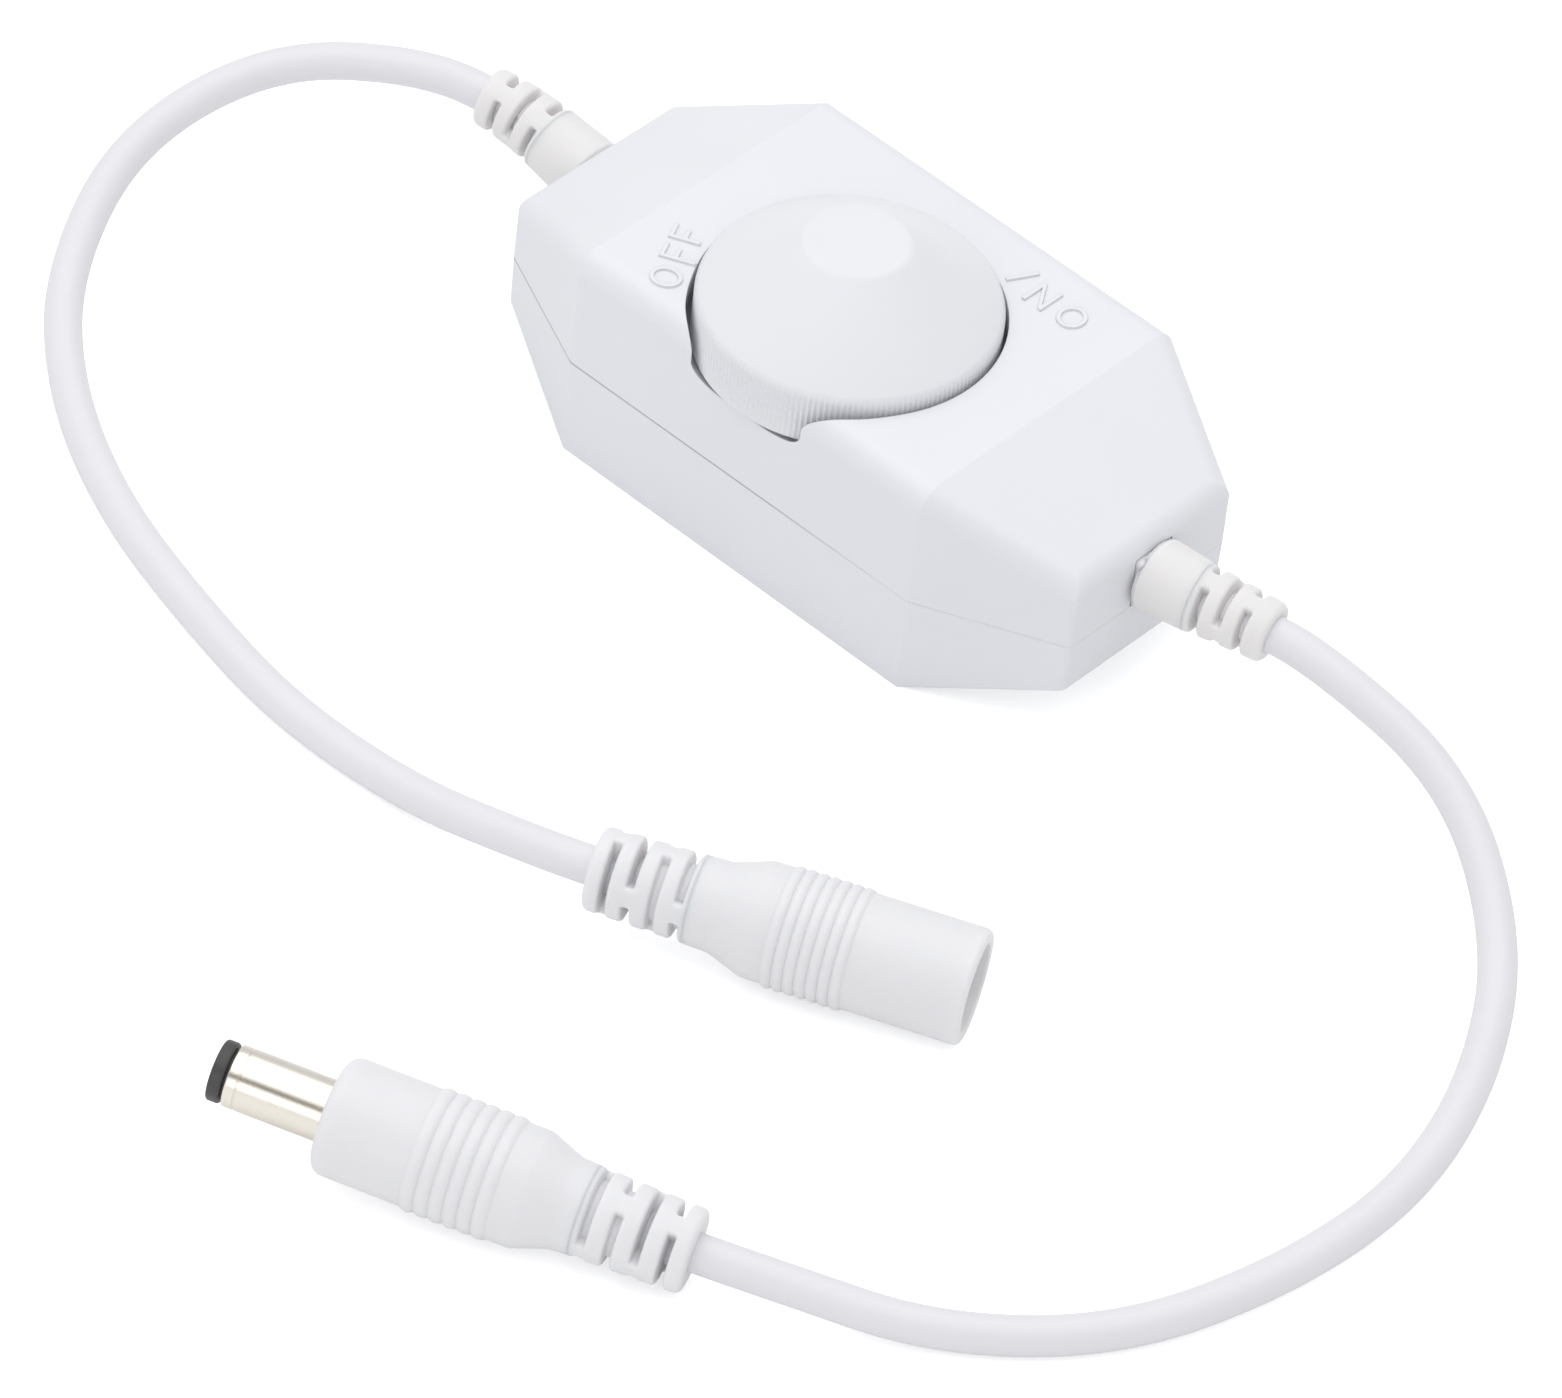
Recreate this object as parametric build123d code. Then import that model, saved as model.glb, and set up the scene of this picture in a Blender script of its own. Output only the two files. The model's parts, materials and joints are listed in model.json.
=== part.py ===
from build123d import *

import os
from math import cos, pi, radians, sin, sqrt, tan

os.makedirs("parts", exist_ok=True)

# Driving sizes, in millimetres. The base of the casing is z = 0 and +Z is up.

# Casing
HALF_LENGTH = 34.2
HALF_WIDTH = 16.7
END_HALF_WIDTH = 10.3
FLAT_HALF = 20.6
HEIGHT = 23.23
PARTING = 10.56
END_HIGH = 17.4
END_LOW = 5.34
SLOPE_OVERRUN = 1.3
DRAFT = 0.6
WALL = 1.6
TOP_ROUND = 2.3
CORNER_ROUND = 0.8
LIP_THICK = 0.8
LIP_RISE = 1.2
FIT = 0.1

# Knob and its well
KNOB_X = -0.2
KNOB_FROM_SIDE = 13.2
KNOB_Y = KNOB_FROM_SIDE - HALF_WIDTH
WELL_RADIUS = 14.65
WELL_DEPTH = 4.83
WELL_FLOOR = HEIGHT - WELL_DEPTH
WELL_FLOOR_ROUND = 1.8
KNOB_GAP = 0.6
KNOB_SKIRT = 5.45
KNOB_CONE = 6.85
KNOB_RADIUS = 13.87
KNOB_LOW = WELL_FLOOR + KNOB_GAP
KNOB_SHOULDER = KNOB_LOW + KNOB_SKIRT
KNOB_TOP = KNOB_SHOULDER + KNOB_CONE
KNOB_DISC_RADIUS = 4.85
KNOB_EDGE = 1.2
KNOB_SKIRT_WALL = 1.5

# Raised marks on the top
MARK_RISE = 0.2
LETTER_SIZE = 3.0
LETTER_STROKE = 0.4
LETTER_F_HALF = 0.95
LETTER_N_HALF = 1.15
LETTER_O_HALF = 1.35
TICK_ANGLE = 62.9
TICK_START = WELL_RADIUS + 0.25
TICK_END = WELL_RADIUS + 3.41

# Cord exits
NOTCH_HALF = 2.4
NOTCH_TOP = 16.1
CORD_RADIUS = 1.76
CORD_EXIT_Z = 13.3
CORD_START_X = HALF_LENGTH - 3.6
FLANGE_THICK = 1.4
FLANGE_HALF = 4.4
FLANGE_LOW = 8.2
FLANGE_HIGH = 15.9
FLANGE_X = HALF_LENGTH - WALL - 2 * FIT

# Slotted strain reliefs on the casing, stations from the end face
RELIEF_START = 0.7
RELIEF_ROOT = HALF_LENGTH - CORD_START_X + FIT
RELIEF_RADIUS = 3.53
RELIEF_TIP_RADIUS = 2.85
RELIEF_SECTIONS = 5
RELIEF_SLOTS = 3
RELIEF_EDGE = 0.5
OUTPUT_RELIEF_END = 12.4
OUTPUT_FIRST_SLOT = 5.75
OUTPUT_SLOT_PITCH = 2.15
INPUT_RELIEF_END = 13.1
INPUT_FIRST_SLOT = 6.5
INPUT_SLOT_PITCH = 2.25
SLOT_WIDTH = 0.88
WEB_HALF = 1.05

# Potentiometer
POT_RADIUS = 8.2
POT_LOW = WELL_FLOOR - 9.2
POT_WAFER = 1.4
CAN_WALL = 0.5
CAN_TOP = 0.6
BUSH_RADIUS = 3.5
BUSH_TOP = WELL_FLOOR + 3.2
BUSH_COLLAR_RADIUS = 5.0
BUSH_COLLAR = 1.5
NUT_FLATS = 10.0
NUT_THICK = 2.0
SHAFT_RADIUS = 3.0
SHAFT_FLAT = 1.5
SHAFT_TOP = KNOB_TOP - 3.8
WIPER_RADIUS = POT_RADIUS - 1.2
WIPER_THICK = 1.5
RUNNING_GAP = 0.05
TURNING_GAP = 0.3
TERMINAL_PITCH = 5.0
TERMINAL_HALF_WIDTH = 0.5
TERMINAL_HALF_THICK = 0.25
TERMINAL_STUB = 0.4
WAFER_TONGUE = 1.9
WAFER_TONGUE_HALF = 7.0
BOARD_TONGUE_HALF = 8.0

# Circuit board
BOARD_LOW = 5.0
BOARD_THICK = 1.6
BOARD_TOP = BOARD_LOW + BOARD_THICK
BOARD_HALF_LENGTH = HALF_LENGTH - 8.2
BOARD_HALF_WIDTH = HALF_WIDTH - 5.9
POST_X = 11.0
POST_Y = 8.4
POST_RADIUS = 1.4
WIRE_X = BOARD_HALF_LENGTH - 1.8
WIRE_Y = 2.2
WIRE_RADIUS = 0.55
WIRE_BEND = 1.4
PAD_HOLE = 0.6
LEAD_STUB = 0.8
SOLDER_RISE = 0.7

# Electrolytic capacitor
CAPACITOR_X = BOARD_HALF_LENGTH - 5.7
CAPACITOR_Y = 4.6
CAPACITOR_RADIUS = 3.15
CAPACITOR_HEIGHT = 9.5
CAPACITOR_GROOVE = 0.2
CAPACITOR_GROOVE_LOW = 1.5
CAPACITOR_GROOVE_HIGH = 2.0
CAPACITOR_EDGE = 0.4
CAPACITOR_LEAD_RADIUS = 0.3
CAPACITOR_LEAD_HALF = 1.25

# Power transistor
MOSFET_X = -16.5
MOSFET_Y = 2.0
MOSFET_HALF_LENGTH = 3.3
MOSFET_HALF_WIDTH = 3.0
MOSFET_HEIGHT = 2.0
TAB_HALF_LENGTH = 2.7
TAB_REACH = 1.6
TAB_THICK = 0.5
LEG_SPREAD = 2.3
LEG_HALF = 0.35
LEG_THICK = 0.4
LEG_RISE = 1.4
LEG_REACH = 2.2
BODY_BEVEL = 0.3

# Controller
CHIP_X = 13.2
CHIP_Y = -3.0
CHIP_HALF_LENGTH = 2.45
CHIP_HALF_WIDTH = 1.95
CHIP_LIFT = 0.15
CHIP_HEIGHT = 1.6
CHIP_LEADS = 4
CHIP_PITCH = 1.27
CHIP_LEAD_HALF = 0.2
CHIP_LEAD_THICK = 0.2
CHIP_LEAD_HIGH = 0.95
CHIP_SHOULDER = 0.45
CHIP_FOOT = 1.15

# Chip resistors and chip capacitors, as length, width and height
RESISTOR_SIZE = (2.0, 1.25, 0.5)
RESISTOR_START = (4.0, 7.6)
RESISTOR_STEP = 3.0
RESISTORS = 4
CERAMIC_SIZE = (1.6, 2.0, 0.9)
CERAMIC_START = (-9.5, 7.6)
CERAMIC_STEP = 3.2
CERAMICS = 3

# Case screws
SCREW_X = FLAT_HALF - 3.1
SCREW_Y = HALF_WIDTH - 5.3
BOSS_RADIUS = 2.5
LOWER_BOSS_RADIUS = 3.0
LOWER_BOSS_TOP = 4.0
SCREW_RADIUS = 1.1
SCREW_HEAD_RADIUS = 2.0
SCREW_HEAD_LOW = 0.5
SCREW_HEAD_HIGH = 2.0
SCREW_TOP = 11.0
SCREW_TIP = 0.8
RECESS_LENGTH = 2.2
RECESS_WIDTH = 0.5
RECESS_DEPTH = 0.8
BOARD_CLEARANCE = 0.5

# Moulded connectors on the cords, stations from the open end of each
HOUSING_RADIUS = 5.2
GRIP_CREST = 5.45
TAPER_NECK_RADIUS = 4.07
TAIL_RADIUS = 3.95
TAIL_TIP_RADIUS = 3.75
TAIL_SLOTS = 4
TAIL_SHALLOW_RADIUS = 2.9
TAIL_LEAD = 0.5
TAIL_EDGE = 0.6

# Male plug
PLUG_ORIGIN = (18.35, -98.81, 7.61)
PLUG_HEADING = 23.87
PLUG_RISE = -4.8
PLUG_ROLL = 15.0
BARREL_RADIUS = 2.75
BARREL_BORE = 2.2
BARREL_TIP = 1.2
BARREL_GROOVE = 0.25
BARREL_ROOT_RADIUS = 3.2
BARREL_ROOT = 6.0
PIN_RADIUS = 1.05
PIN_SLEEVE_RADIUS = 1.5
PIN_SLEEVE_LOW = 0.4
PIN_SLEEVE_ROOT = 5.0
PIN_SLEEVE_BACK = 2.0
PLUG_FRONT = 10.2
PLUG_FRONT_ROUND = 1.2
PLUG_GRIP_START = 18.45
PLUG_RIBS = 6
PLUG_RIB_PITCH = 1.28
PLUG_TAPER_START = 28.1
PLUG_TAPER_END = 31.4
PLUG_FIRST_SLOT = 33.95
PLUG_TAIL_PITCH = 2.35
PLUG_END = 42.87
PLUG_CORD_END = 37.9

# Female jack
JACK_ORIGIN = (53.35, -42.65, 5.19)
JACK_HEADING = 205.16
JACK_RISE = 1.61
JACK_ROLL = 18.0
JACK_MOUTH_RADIUS = 4.0
JACK_RECESS = 1.0
JACK_SOCKET_RADIUS = 3.1
JACK_SOCKET_DEPTH = 9.4
JACK_INSERT_DEPTH = 12.0
JACK_PIN_LOW = 1.6
JACK_PIN_TIP = 0.6
JACK_PIN_ROOT_RADIUS = 1.4
JACK_FRONT_ROUND = 0.6
JACK_GRIP_START = 10.6
JACK_RIBS = 7
JACK_RIB_PITCH = 1.03
JACK_TAPER_START = 19.6
JACK_TAPER_END = 23.0
JACK_FIRST_SLOT = 26.1
JACK_TAIL_PITCH = 2.2
JACK_END = 34.5
JACK_CORD_END = 29.5
SPRING_LOW = 3.0
SPRING_HIGH = 9.4
SPRING_REST = 0.35
SPRING_BOW = 0.25
SPRING_THICK = 0.2
SPRING_HALF_WIDTH = 0.7
SPRING_ROOM = 0.15

# Cord routes, from inside the casing to the tail of each connector
OUTPUT_ROUTE = [
    (CORD_START_X, 0.0, CORD_EXIT_Z),
    (36.2, 0.1, 13.3),
    (43.3, 2.0, 13.0),
    (51.2, 3.6, 12.6),
    (66.4, 5.0, 8.2),
    (79.1, -2.3, 2.7),
    (87.6, -15.4, CORD_RADIUS),
    (92.1, -30.3, CORD_RADIUS),
    (91.1, -45.7, CORD_RADIUS),
    (86.2, -60.8, CORD_RADIUS),
    (75.8, -71.8, CORD_RADIUS),
    (64.2, -78.2, 3.45),
]
INPUT_ROUTE = [
    (-CORD_START_X, 0.0, CORD_EXIT_Z),
    (-36.0, 0.2, 14.0),
    (-44.4, -0.1, 15.75),
    (-53.5, -3.0, 16.6),
    (-65.2, -10.9, 14.2),
    (-69.9, -24.3, 8.9),
    (-64.8, -37.3, 3.2),
    (-54.0, -46.8, CORD_RADIUS),
    (-40.6, -53.7, CORD_RADIUS),
    (-26.6, -57.6, CORD_RADIUS),
    (-12.1, -60.4, CORD_RADIUS),
    (2.6, -59.6, CORD_RADIUS),
    (15.3, -59.0, 5.3),
]


# Helpers
def save(part, node):
    """Write one sub-part under its node's name."""
    solids = part.solids()
    shape = solids[0] if len(solids) == 1 else Compound(children=list(solids))
    shape.label = node
    export_step(shape, f"parts/{node}.step")
    print(f"{node}: {len(solids)} solid(s), {sum(s.volume for s in solids):.2f} mm3")


def post(radius, low, high, x=0.0, y=0.0):
    """Upright cylinder between two heights."""
    foot = Plane(origin=(x, y, low))
    return extrude(foot * Circle(radius), amount=high - low)


def ring(outer, inner, low, high, x=0.0, y=0.0):
    """Upright tube between two heights."""
    return post(outer, low, high, x, y) - post(inner, low, high, x, y)


def block(x, y, z):
    """Box between two limits along each axis."""
    size = (x[1] - x[0], y[1] - y[0], z[1] - z[0])
    centre = ((x[0] + x[1]) / 2, (y[0] + y[1]) / 2, (z[0] + z[1]) / 2)
    return Pos(*centre) * Box(*size)


def turned(profile, frame=Plane.XY):
    """Solid of revolution about a frame's Z axis, from its profile in radius and height."""
    face = make_face(profile)
    return frame.location * revolve(Plane.XZ * face, axis=Axis.Z)


def connector_frame(origin, heading, rise):
    """Frame whose Z axis runs from a connector's open end to its tail."""
    level = cos(radians(rise))
    axis = (level * cos(radians(heading)), level * sin(radians(heading)), sin(radians(rise)))
    across = (-sin(radians(heading)), cos(radians(heading)), 0)
    return Plane(origin=origin, x_dir=across, z_dir=axis)


PLUG_FRAME = connector_frame(PLUG_ORIGIN, PLUG_HEADING, PLUG_RISE)
JACK_FRAME = connector_frame(JACK_ORIGIN, JACK_HEADING, JACK_RISE)


def on_axis(frame, station):
    """Point on a connector's axis."""
    return frame.origin + frame.z_dir * station


def station_plane(frame, station, roll=0.0):
    """Plane square to a connector's axis, rolled about it."""
    return Plane(frame.location * Pos(0, 0, station) * Rot(0, 0, roll))


# Casing
def plan_outline(inset):
    """Eight-sided plan of the casing at the parting line, drawn in by an inset."""
    corners = [
        (FLAT_HALF, HALF_WIDTH),
        (-FLAT_HALF, HALF_WIDTH),
        (-HALF_LENGTH, END_HALF_WIDTH),
        (-HALF_LENGTH, -END_HALF_WIDTH),
        (-FLAT_HALF, -HALF_WIDTH),
        (FLAT_HALF, -HALF_WIDTH),
        (HALF_LENGTH, -END_HALF_WIDTH),
        (HALF_LENGTH, END_HALF_WIDTH),
    ]
    plan = make_face(Polyline(*corners, close=True))
    return drawn_in(plan, inset)


def drawn_in(outline, inset):
    """Outline drawn in by an inset with its corners kept sharp."""
    if inset > 0:
        return offset(outline, amount=-inset, kind=Kind.INTERSECTION)
    return outline


def side_outline(inset):
    """Side view of the casing with its slopes run on past the ends, drawn in by an inset."""
    run = HALF_LENGTH - FLAT_HALF
    high = HEIGHT - SLOPE_OVERRUN * (HEIGHT - END_HIGH)
    low = SLOPE_OVERRUN * END_LOW
    reach = FLAT_HALF + SLOPE_OVERRUN * run
    corners = [
        (FLAT_HALF, HEIGHT),
        (reach, high),
        (reach, low),
        (FLAT_HALF, 0),
        (-FLAT_HALF, 0),
        (-reach, low),
        (-reach, high),
        (-FLAT_HALF, HEIGHT),
    ]
    return drawn_in(make_face(Polyline(*corners, close=True)), inset)


def casing_half(inset, up):
    """Solid half of the casing on one side of the parting, drawn in by an inset."""
    plan = plan_outline(inset).face()
    if plan.normal_at().Z < 0:
        plan = -plan
    rise = Plane(origin=(0, 0, PARTING), z_dir=(0, 0, up))
    tower = extrude(rise * plan, amount=HEIGHT, taper=DRAFT)
    slab = extrude(Plane.XZ * side_outline(inset), amount=2 * HALF_WIDTH, both=True)
    return tower & slab


def edge_rounding(edge, faces, radius):
    """Sliver that rounds one straight edge between two flat faces."""
    start = edge.position_at(0)
    along = edge.tangent_at(0)
    normals = [face.normal_at() for face in faces]
    turn = normals[0].get_angle(normals[1])
    setback = radius * tan(radians(turn) / 2)
    outward = (normals[0] + normals[1]).normalized()
    centre = start - outward * (radius / cos(radians(turn) / 2))
    touches = [centre + normal * radius for normal in normals]
    crest = centre + outward * radius
    beyond = [touch + normal * setback for touch, normal in zip(touches, normals)]
    corner = start + outward * (2 * setback)
    arc = ThreePointArc(touches[0], crest, touches[1])
    sides = Polyline(touches[1], beyond[1], corner, beyond[0], touches[0])
    return extrude(make_face(arc + sides), amount=3 * HALF_LENGTH, dir=along, both=True)


def is_upright(edge):
    """Whether an edge runs nearly vertically."""
    return abs(edge.tangent_at(0).Z) > 0.9


def rounded_edges(solid, up):
    """Edges that take a rounding, each with its two faces and radius."""
    found = []
    for edge in solid.edges():
        faces = [face for face in solid.faces() if any(edge.is_same(other) for other in face.edges())]
        heights = [face.normal_at().Z * up for face in faces]
        if is_upright(edge):
            found.append((edge, faces, CORNER_ROUND))
        elif up > 0 and edge.length > TOP_ROUND and max(heights) > 0.5 and abs(min(heights)) < 0.2:
            found.append((edge, faces, TOP_ROUND))
    return found


def casing_shell(up):
    """Hollow half of the casing with its outer edges rounded."""
    outer = casing_half(0, up)
    roundings = [edge_rounding(*found) for found in rounded_edges(outer, up)]
    for sliver in roundings:
        outer = outer - sliver
    return outer, outer - casing_half(WALL, up)


def corner_spots():
    """Centres of the four case screws."""
    return [(x, y) for x in (-SCREW_X, SCREW_X) for y in (-SCREW_Y, SCREW_Y)]


def well_space():
    """Round well for the knob, with a rounded foot."""
    high = 2 * HEIGHT
    knee = WELL_FLOOR_ROUND * (1 - sqrt(0.5))
    walls = Polyline(
        (WELL_RADIUS, WELL_FLOOR + WELL_FLOOR_ROUND), (WELL_RADIUS, high), (0, high),
        (0, WELL_FLOOR), (WELL_RADIUS - WELL_FLOOR_ROUND, WELL_FLOOR),
    )
    foot = ThreePointArc(
        (WELL_RADIUS - WELL_FLOOR_ROUND, WELL_FLOOR),
        (WELL_RADIUS - knee, WELL_FLOOR + knee),
        (WELL_RADIUS, WELL_FLOOR + WELL_FLOOR_ROUND),
    )
    return turned(walls + foot, Plane(origin=(KNOB_X, KNOB_Y, 0)))


def letter(name):
    """Outline letter, centred on the origin."""
    half = LETTER_SIZE / 2
    stroke = LETTER_STROKE
    upright = Rectangle(stroke, LETTER_SIZE)
    if name == "O":
        return Ellipse(LETTER_O_HALF, half) - Ellipse(LETTER_O_HALF - stroke, half - stroke)
    if name == "F":
        wide = LETTER_F_HALF
        top = Pos(0, half - stroke / 2) * Rectangle(2 * wide, stroke)
        middle = Pos(-stroke / 2, 0) * Rectangle(2 * wide - stroke, stroke)
        return Pos(-wide + stroke / 2, 0) * upright + top + middle
    wide = LETTER_N_HALF
    legs = [Pos(side * (wide - stroke / 2), 0) * upright for side in (-1, 1)]
    bar = Polyline(
        (-wide, half), (-wide + stroke, half), (wide, -half), (wide - stroke, -half), close=True,
    )
    return legs[0] + legs[1] + make_face(bar)


def marks():
    """Raised OFF, ON and full-brightness tick on the top."""
    spots = [
        ("O", -13.71, -12.93, 115),
        ("F", -15.16, -9.88, 115),
        ("F", -16.36, -7.40, 115),
        ("O", 13.9, 10.46, 180),
        ("N", 10.3, 10.5, 180),
    ]
    foot = HEIGHT - MARK_RISE
    faces = [Pos(x, y, foot) * Rot(0, 0, turn) * letter(name) for name, x, y, turn in spots]
    radius = (TICK_START + TICK_END) / 2
    angle = radians(TICK_ANGLE)
    tick = Rectangle(TICK_END - TICK_START, LETTER_STROKE)
    place = Pos(KNOB_X + radius * cos(angle), KNOB_Y + radius * sin(angle), foot)
    faces.append(place * Rot(0, 0, TICK_ANGLE) * tick)
    solids = [extrude(face, amount=2 * MARK_RISE, dir=(0, 0, 1)) for face in faces]
    return Part() + solids


def upper_shell():
    """Upper half: bevelled top, knob well, cord notches, screw bosses."""
    outer, shell = casing_shell(1)
    well_foot = WELL_FLOOR - WALL
    well = post(WELL_RADIUS + WALL, well_foot, HEIGHT, KNOB_X, KNOB_Y) & outer
    shell = shell + well
    roof = casing_half(WALL / 2, 1)
    stubs = casing_half(WALL / 2, -1)
    for x, y in corner_spots():
        boss = post(BOSS_RADIUS, LOWER_BOSS_TOP + FIT, HEIGHT, x, y)
        shell = shell + (boss & (roof + stubs))
    shell = shell - well_space()
    shell = shell - post(BUSH_RADIUS + FIT, 0, HEIGHT, KNOB_X, KNOB_Y)
    for x, y in corner_spots():
        shell = shell - post(SCREW_RADIUS, 0, SCREW_TOP + 1, x, y)
    for side in (-1, 1):
        span = sorted((side * (FLANGE_X - FLANGE_THICK), side * 2 * HALF_LENGTH))
        shell = shell - block(span, (-NOTCH_HALF, NOTCH_HALF), (PARTING - 1, NOTCH_TOP))
    return shell + marks()


def lower_shell():
    """Lower half: sloped underside, tongue, screw bosses, board posts, cord saddles."""
    outer, shell = casing_shell(-1)
    floor = casing_half(WALL / 2, -1)
    tongue_low = PARTING - 2 * LIP_RISE
    tongue = casing_half(WALL + FIT, 1) + casing_half(WALL - FIT, -1)
    tongue = tongue - casing_half(WALL + FIT + LIP_THICK, 1) - casing_half(WALL + FIT + LIP_THICK, -1)
    wide = (-2 * HALF_LENGTH, 2 * HALF_LENGTH)
    tongue = tongue & block(wide, wide, (tongue_low, PARTING + LIP_RISE))
    gap = FLANGE_HALF + 2 * FIT
    tongue = tongue - block(wide, (-gap, gap), (0, HEIGHT))
    shell = shell + tongue
    for x in (-POST_X, POST_X):
        for y in (-POST_Y, POST_Y):
            shell = shell + post(POST_RADIUS, WALL / 2, BOARD_LOW, x, y)
    for side in (-1, 1):
        inner = FLANGE_X - FLANGE_THICK - FIT
        span = sorted((side * (inner - WALL), side * inner))
        saddle = block(span, (-FLANGE_HALF, FLANGE_HALF), (0, CORD_EXIT_Z))
        throat = block(span, (-NOTCH_HALF - WALL / 2, NOTCH_HALF + WALL / 2), (BOARD_LOW, HEIGHT))
        shell = shell + ((saddle - throat) & (floor + casing_half(WALL, 1)))
    for x, y in corner_spots():
        shell = shell + (post(LOWER_BOSS_RADIUS, 0, LOWER_BOSS_TOP, x, y) & outer)
        shell = shell - post(SCREW_RADIUS + FIT, 0, HEIGHT, x, y)
        shell = shell - post(SCREW_HEAD_RADIUS + FIT, 0, SCREW_HEAD_HIGH, x, y)
    return shell


def case_screws():
    """Four self-tapping screws from the underside, each with a cross recess."""
    screws = Part()
    for x, y in corner_spots():
        head = post(SCREW_HEAD_RADIUS, SCREW_HEAD_LOW, SCREW_HEAD_HIGH, x, y)
        for turn in (0, 90):
            slot = Box(RECESS_LENGTH, RECESS_WIDTH, 2 * RECESS_DEPTH)
            head = head - Pos(x, y, SCREW_HEAD_LOW) * Rot(0, 0, turn) * slot
        tip = Cone(SCREW_RADIUS, SCREW_RADIUS / 2, SCREW_TIP)
        shank = post(SCREW_RADIUS, SCREW_HEAD_HIGH, SCREW_TOP - SCREW_TIP, x, y)
        screws = screws + (head + shank + Pos(x, y, SCREW_TOP - SCREW_TIP / 2) * tip)
    return screws


# Knob
def knob_outline():
    """Half section of the knob: skirt, straight cone, flat disc and hollow underside."""
    inside = KNOB_RADIUS - KNOB_SKIRT_WALL
    ceiling = BUSH_TOP + 4 * FIT
    foot = 3 * FIT
    outline = make_face(Polyline(
        (0, ceiling), (inside, ceiling), (inside, KNOB_LOW), (KNOB_RADIUS - foot, KNOB_LOW),
        (KNOB_RADIUS, KNOB_LOW + foot), (KNOB_RADIUS, KNOB_SHOULDER),
        (KNOB_DISC_RADIUS, KNOB_TOP), (0, KNOB_TOP), close=True,
    ))
    outer = outline.vertices().filter_by(lambda spot: spot.X > KNOB_DISC_RADIUS - FIT)
    return fillet(outer.filter_by(lambda spot: spot.Y > ceiling + FIT), KNOB_EDGE)


def shaft_flat(low):
    """Room beside the flat of the shaft, from a height up."""
    wide = 2 * SHAFT_RADIUS
    return block((SHAFT_FLAT, wide), (-wide, wide), (low, KNOB_TOP))


def knob():
    """Cone-shaped knob with a hollow underside and a flatted bore."""
    body = revolve(Plane.XZ * knob_outline(), axis=Axis.Z)
    bore = post(SHAFT_RADIUS, 0, SHAFT_TOP + FIT)
    return Pos(KNOB_X, KNOB_Y, 0) * (body - (bore - shaft_flat(0)))


# Potentiometer
def pot_case():
    """Round metal can under the well floor."""
    high = WELL_FLOOR - WALL - FIT
    low = POT_LOW + POT_WAFER
    can = post(POT_RADIUS, low, high, KNOB_X, KNOB_Y)
    can = can - post(POT_RADIUS - CAN_WALL, low, high - CAN_TOP, KNOB_X, KNOB_Y)
    return can - post(BUSH_RADIUS, low, high, KNOB_X, KNOB_Y)


def pot_bushing():
    """Threaded bushing with its collar inside the can."""
    high = WELL_FLOOR - WALL - FIT - CAN_TOP
    thread = post(BUSH_RADIUS, high - BUSH_COLLAR, BUSH_TOP, KNOB_X, KNOB_Y)
    collar = post(BUSH_COLLAR_RADIUS, high - BUSH_COLLAR, high, KNOB_X, KNOB_Y)
    return thread + collar - post(SHAFT_RADIUS + RUNNING_GAP, 0, KNOB_TOP, KNOB_X, KNOB_Y)


def pot_nut():
    """Hexagonal nut that clamps the potentiometer to the well floor."""
    hexagon = RegularPolygon(NUT_FLATS / 2, 6, major_radius=False)
    nut = extrude(Plane(origin=(KNOB_X, KNOB_Y, WELL_FLOOR)) * hexagon, amount=NUT_THICK)
    return nut - post(BUSH_RADIUS, 0, KNOB_TOP, KNOB_X, KNOB_Y)


def pot_wafer():
    """Flat resistor wafer that closes the can and carries the terminals."""
    span = (POT_LOW, POT_LOW + POT_WAFER)
    disc = post(POT_RADIUS, *span, KNOB_X, KNOB_Y)
    reach = KNOB_Y - POT_RADIUS - WAFER_TONGUE
    wafer = disc + block((KNOB_X - WAFER_TONGUE_HALF, KNOB_X + WAFER_TONGUE_HALF), (reach, KNOB_Y), span)
    for x, y in terminal_spots():
        wafer = wafer - block(*terminal_span(x, y), span)
    return wafer


def terminal_spots():
    """Centres of the three terminals along the wafer's tongue."""
    y = KNOB_Y - POT_RADIUS - WAFER_TONGUE / 2
    return [(KNOB_X + step * TERMINAL_PITCH, y) for step in (-1, 0, 1)]


def terminal_span(x, y):
    """Limits of one terminal's section."""
    across = (x - TERMINAL_HALF_WIDTH, x + TERMINAL_HALF_WIDTH)
    return across, (y - TERMINAL_HALF_THICK, y + TERMINAL_HALF_THICK)


def pot_terminals():
    """Three flat terminals from the wafer down through the board."""
    span = (BOARD_LOW - LEAD_STUB, POT_LOW + POT_WAFER + TERMINAL_STUB)
    return Part() + [block(*terminal_span(x, y), span) for x, y in terminal_spots()]


def pot_shaft():
    """Shaft with a flat at its top and the wiper disc at its foot."""
    foot = POT_LOW + POT_WAFER + TURNING_GAP
    shaft = post(SHAFT_RADIUS, foot, SHAFT_TOP) - shaft_flat(BUSH_TOP + TURNING_GAP)
    disc = post(WIPER_RADIUS, foot, foot + WIPER_THICK)
    return Pos(KNOB_X, KNOB_Y, 0) * (shaft + disc)


# Circuit board
def wire_spots(side):
    """Centres of one cord's two wires on the board."""
    return [(side * WIRE_X, y) for y in (-WIRE_Y, WIRE_Y)]


def capacitor_spots():
    """Centres of the capacitor's two leads."""
    return [(CAPACITOR_X, CAPACITOR_Y + step) for step in (-CAPACITOR_LEAD_HALF, CAPACITOR_LEAD_HALF)]


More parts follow.
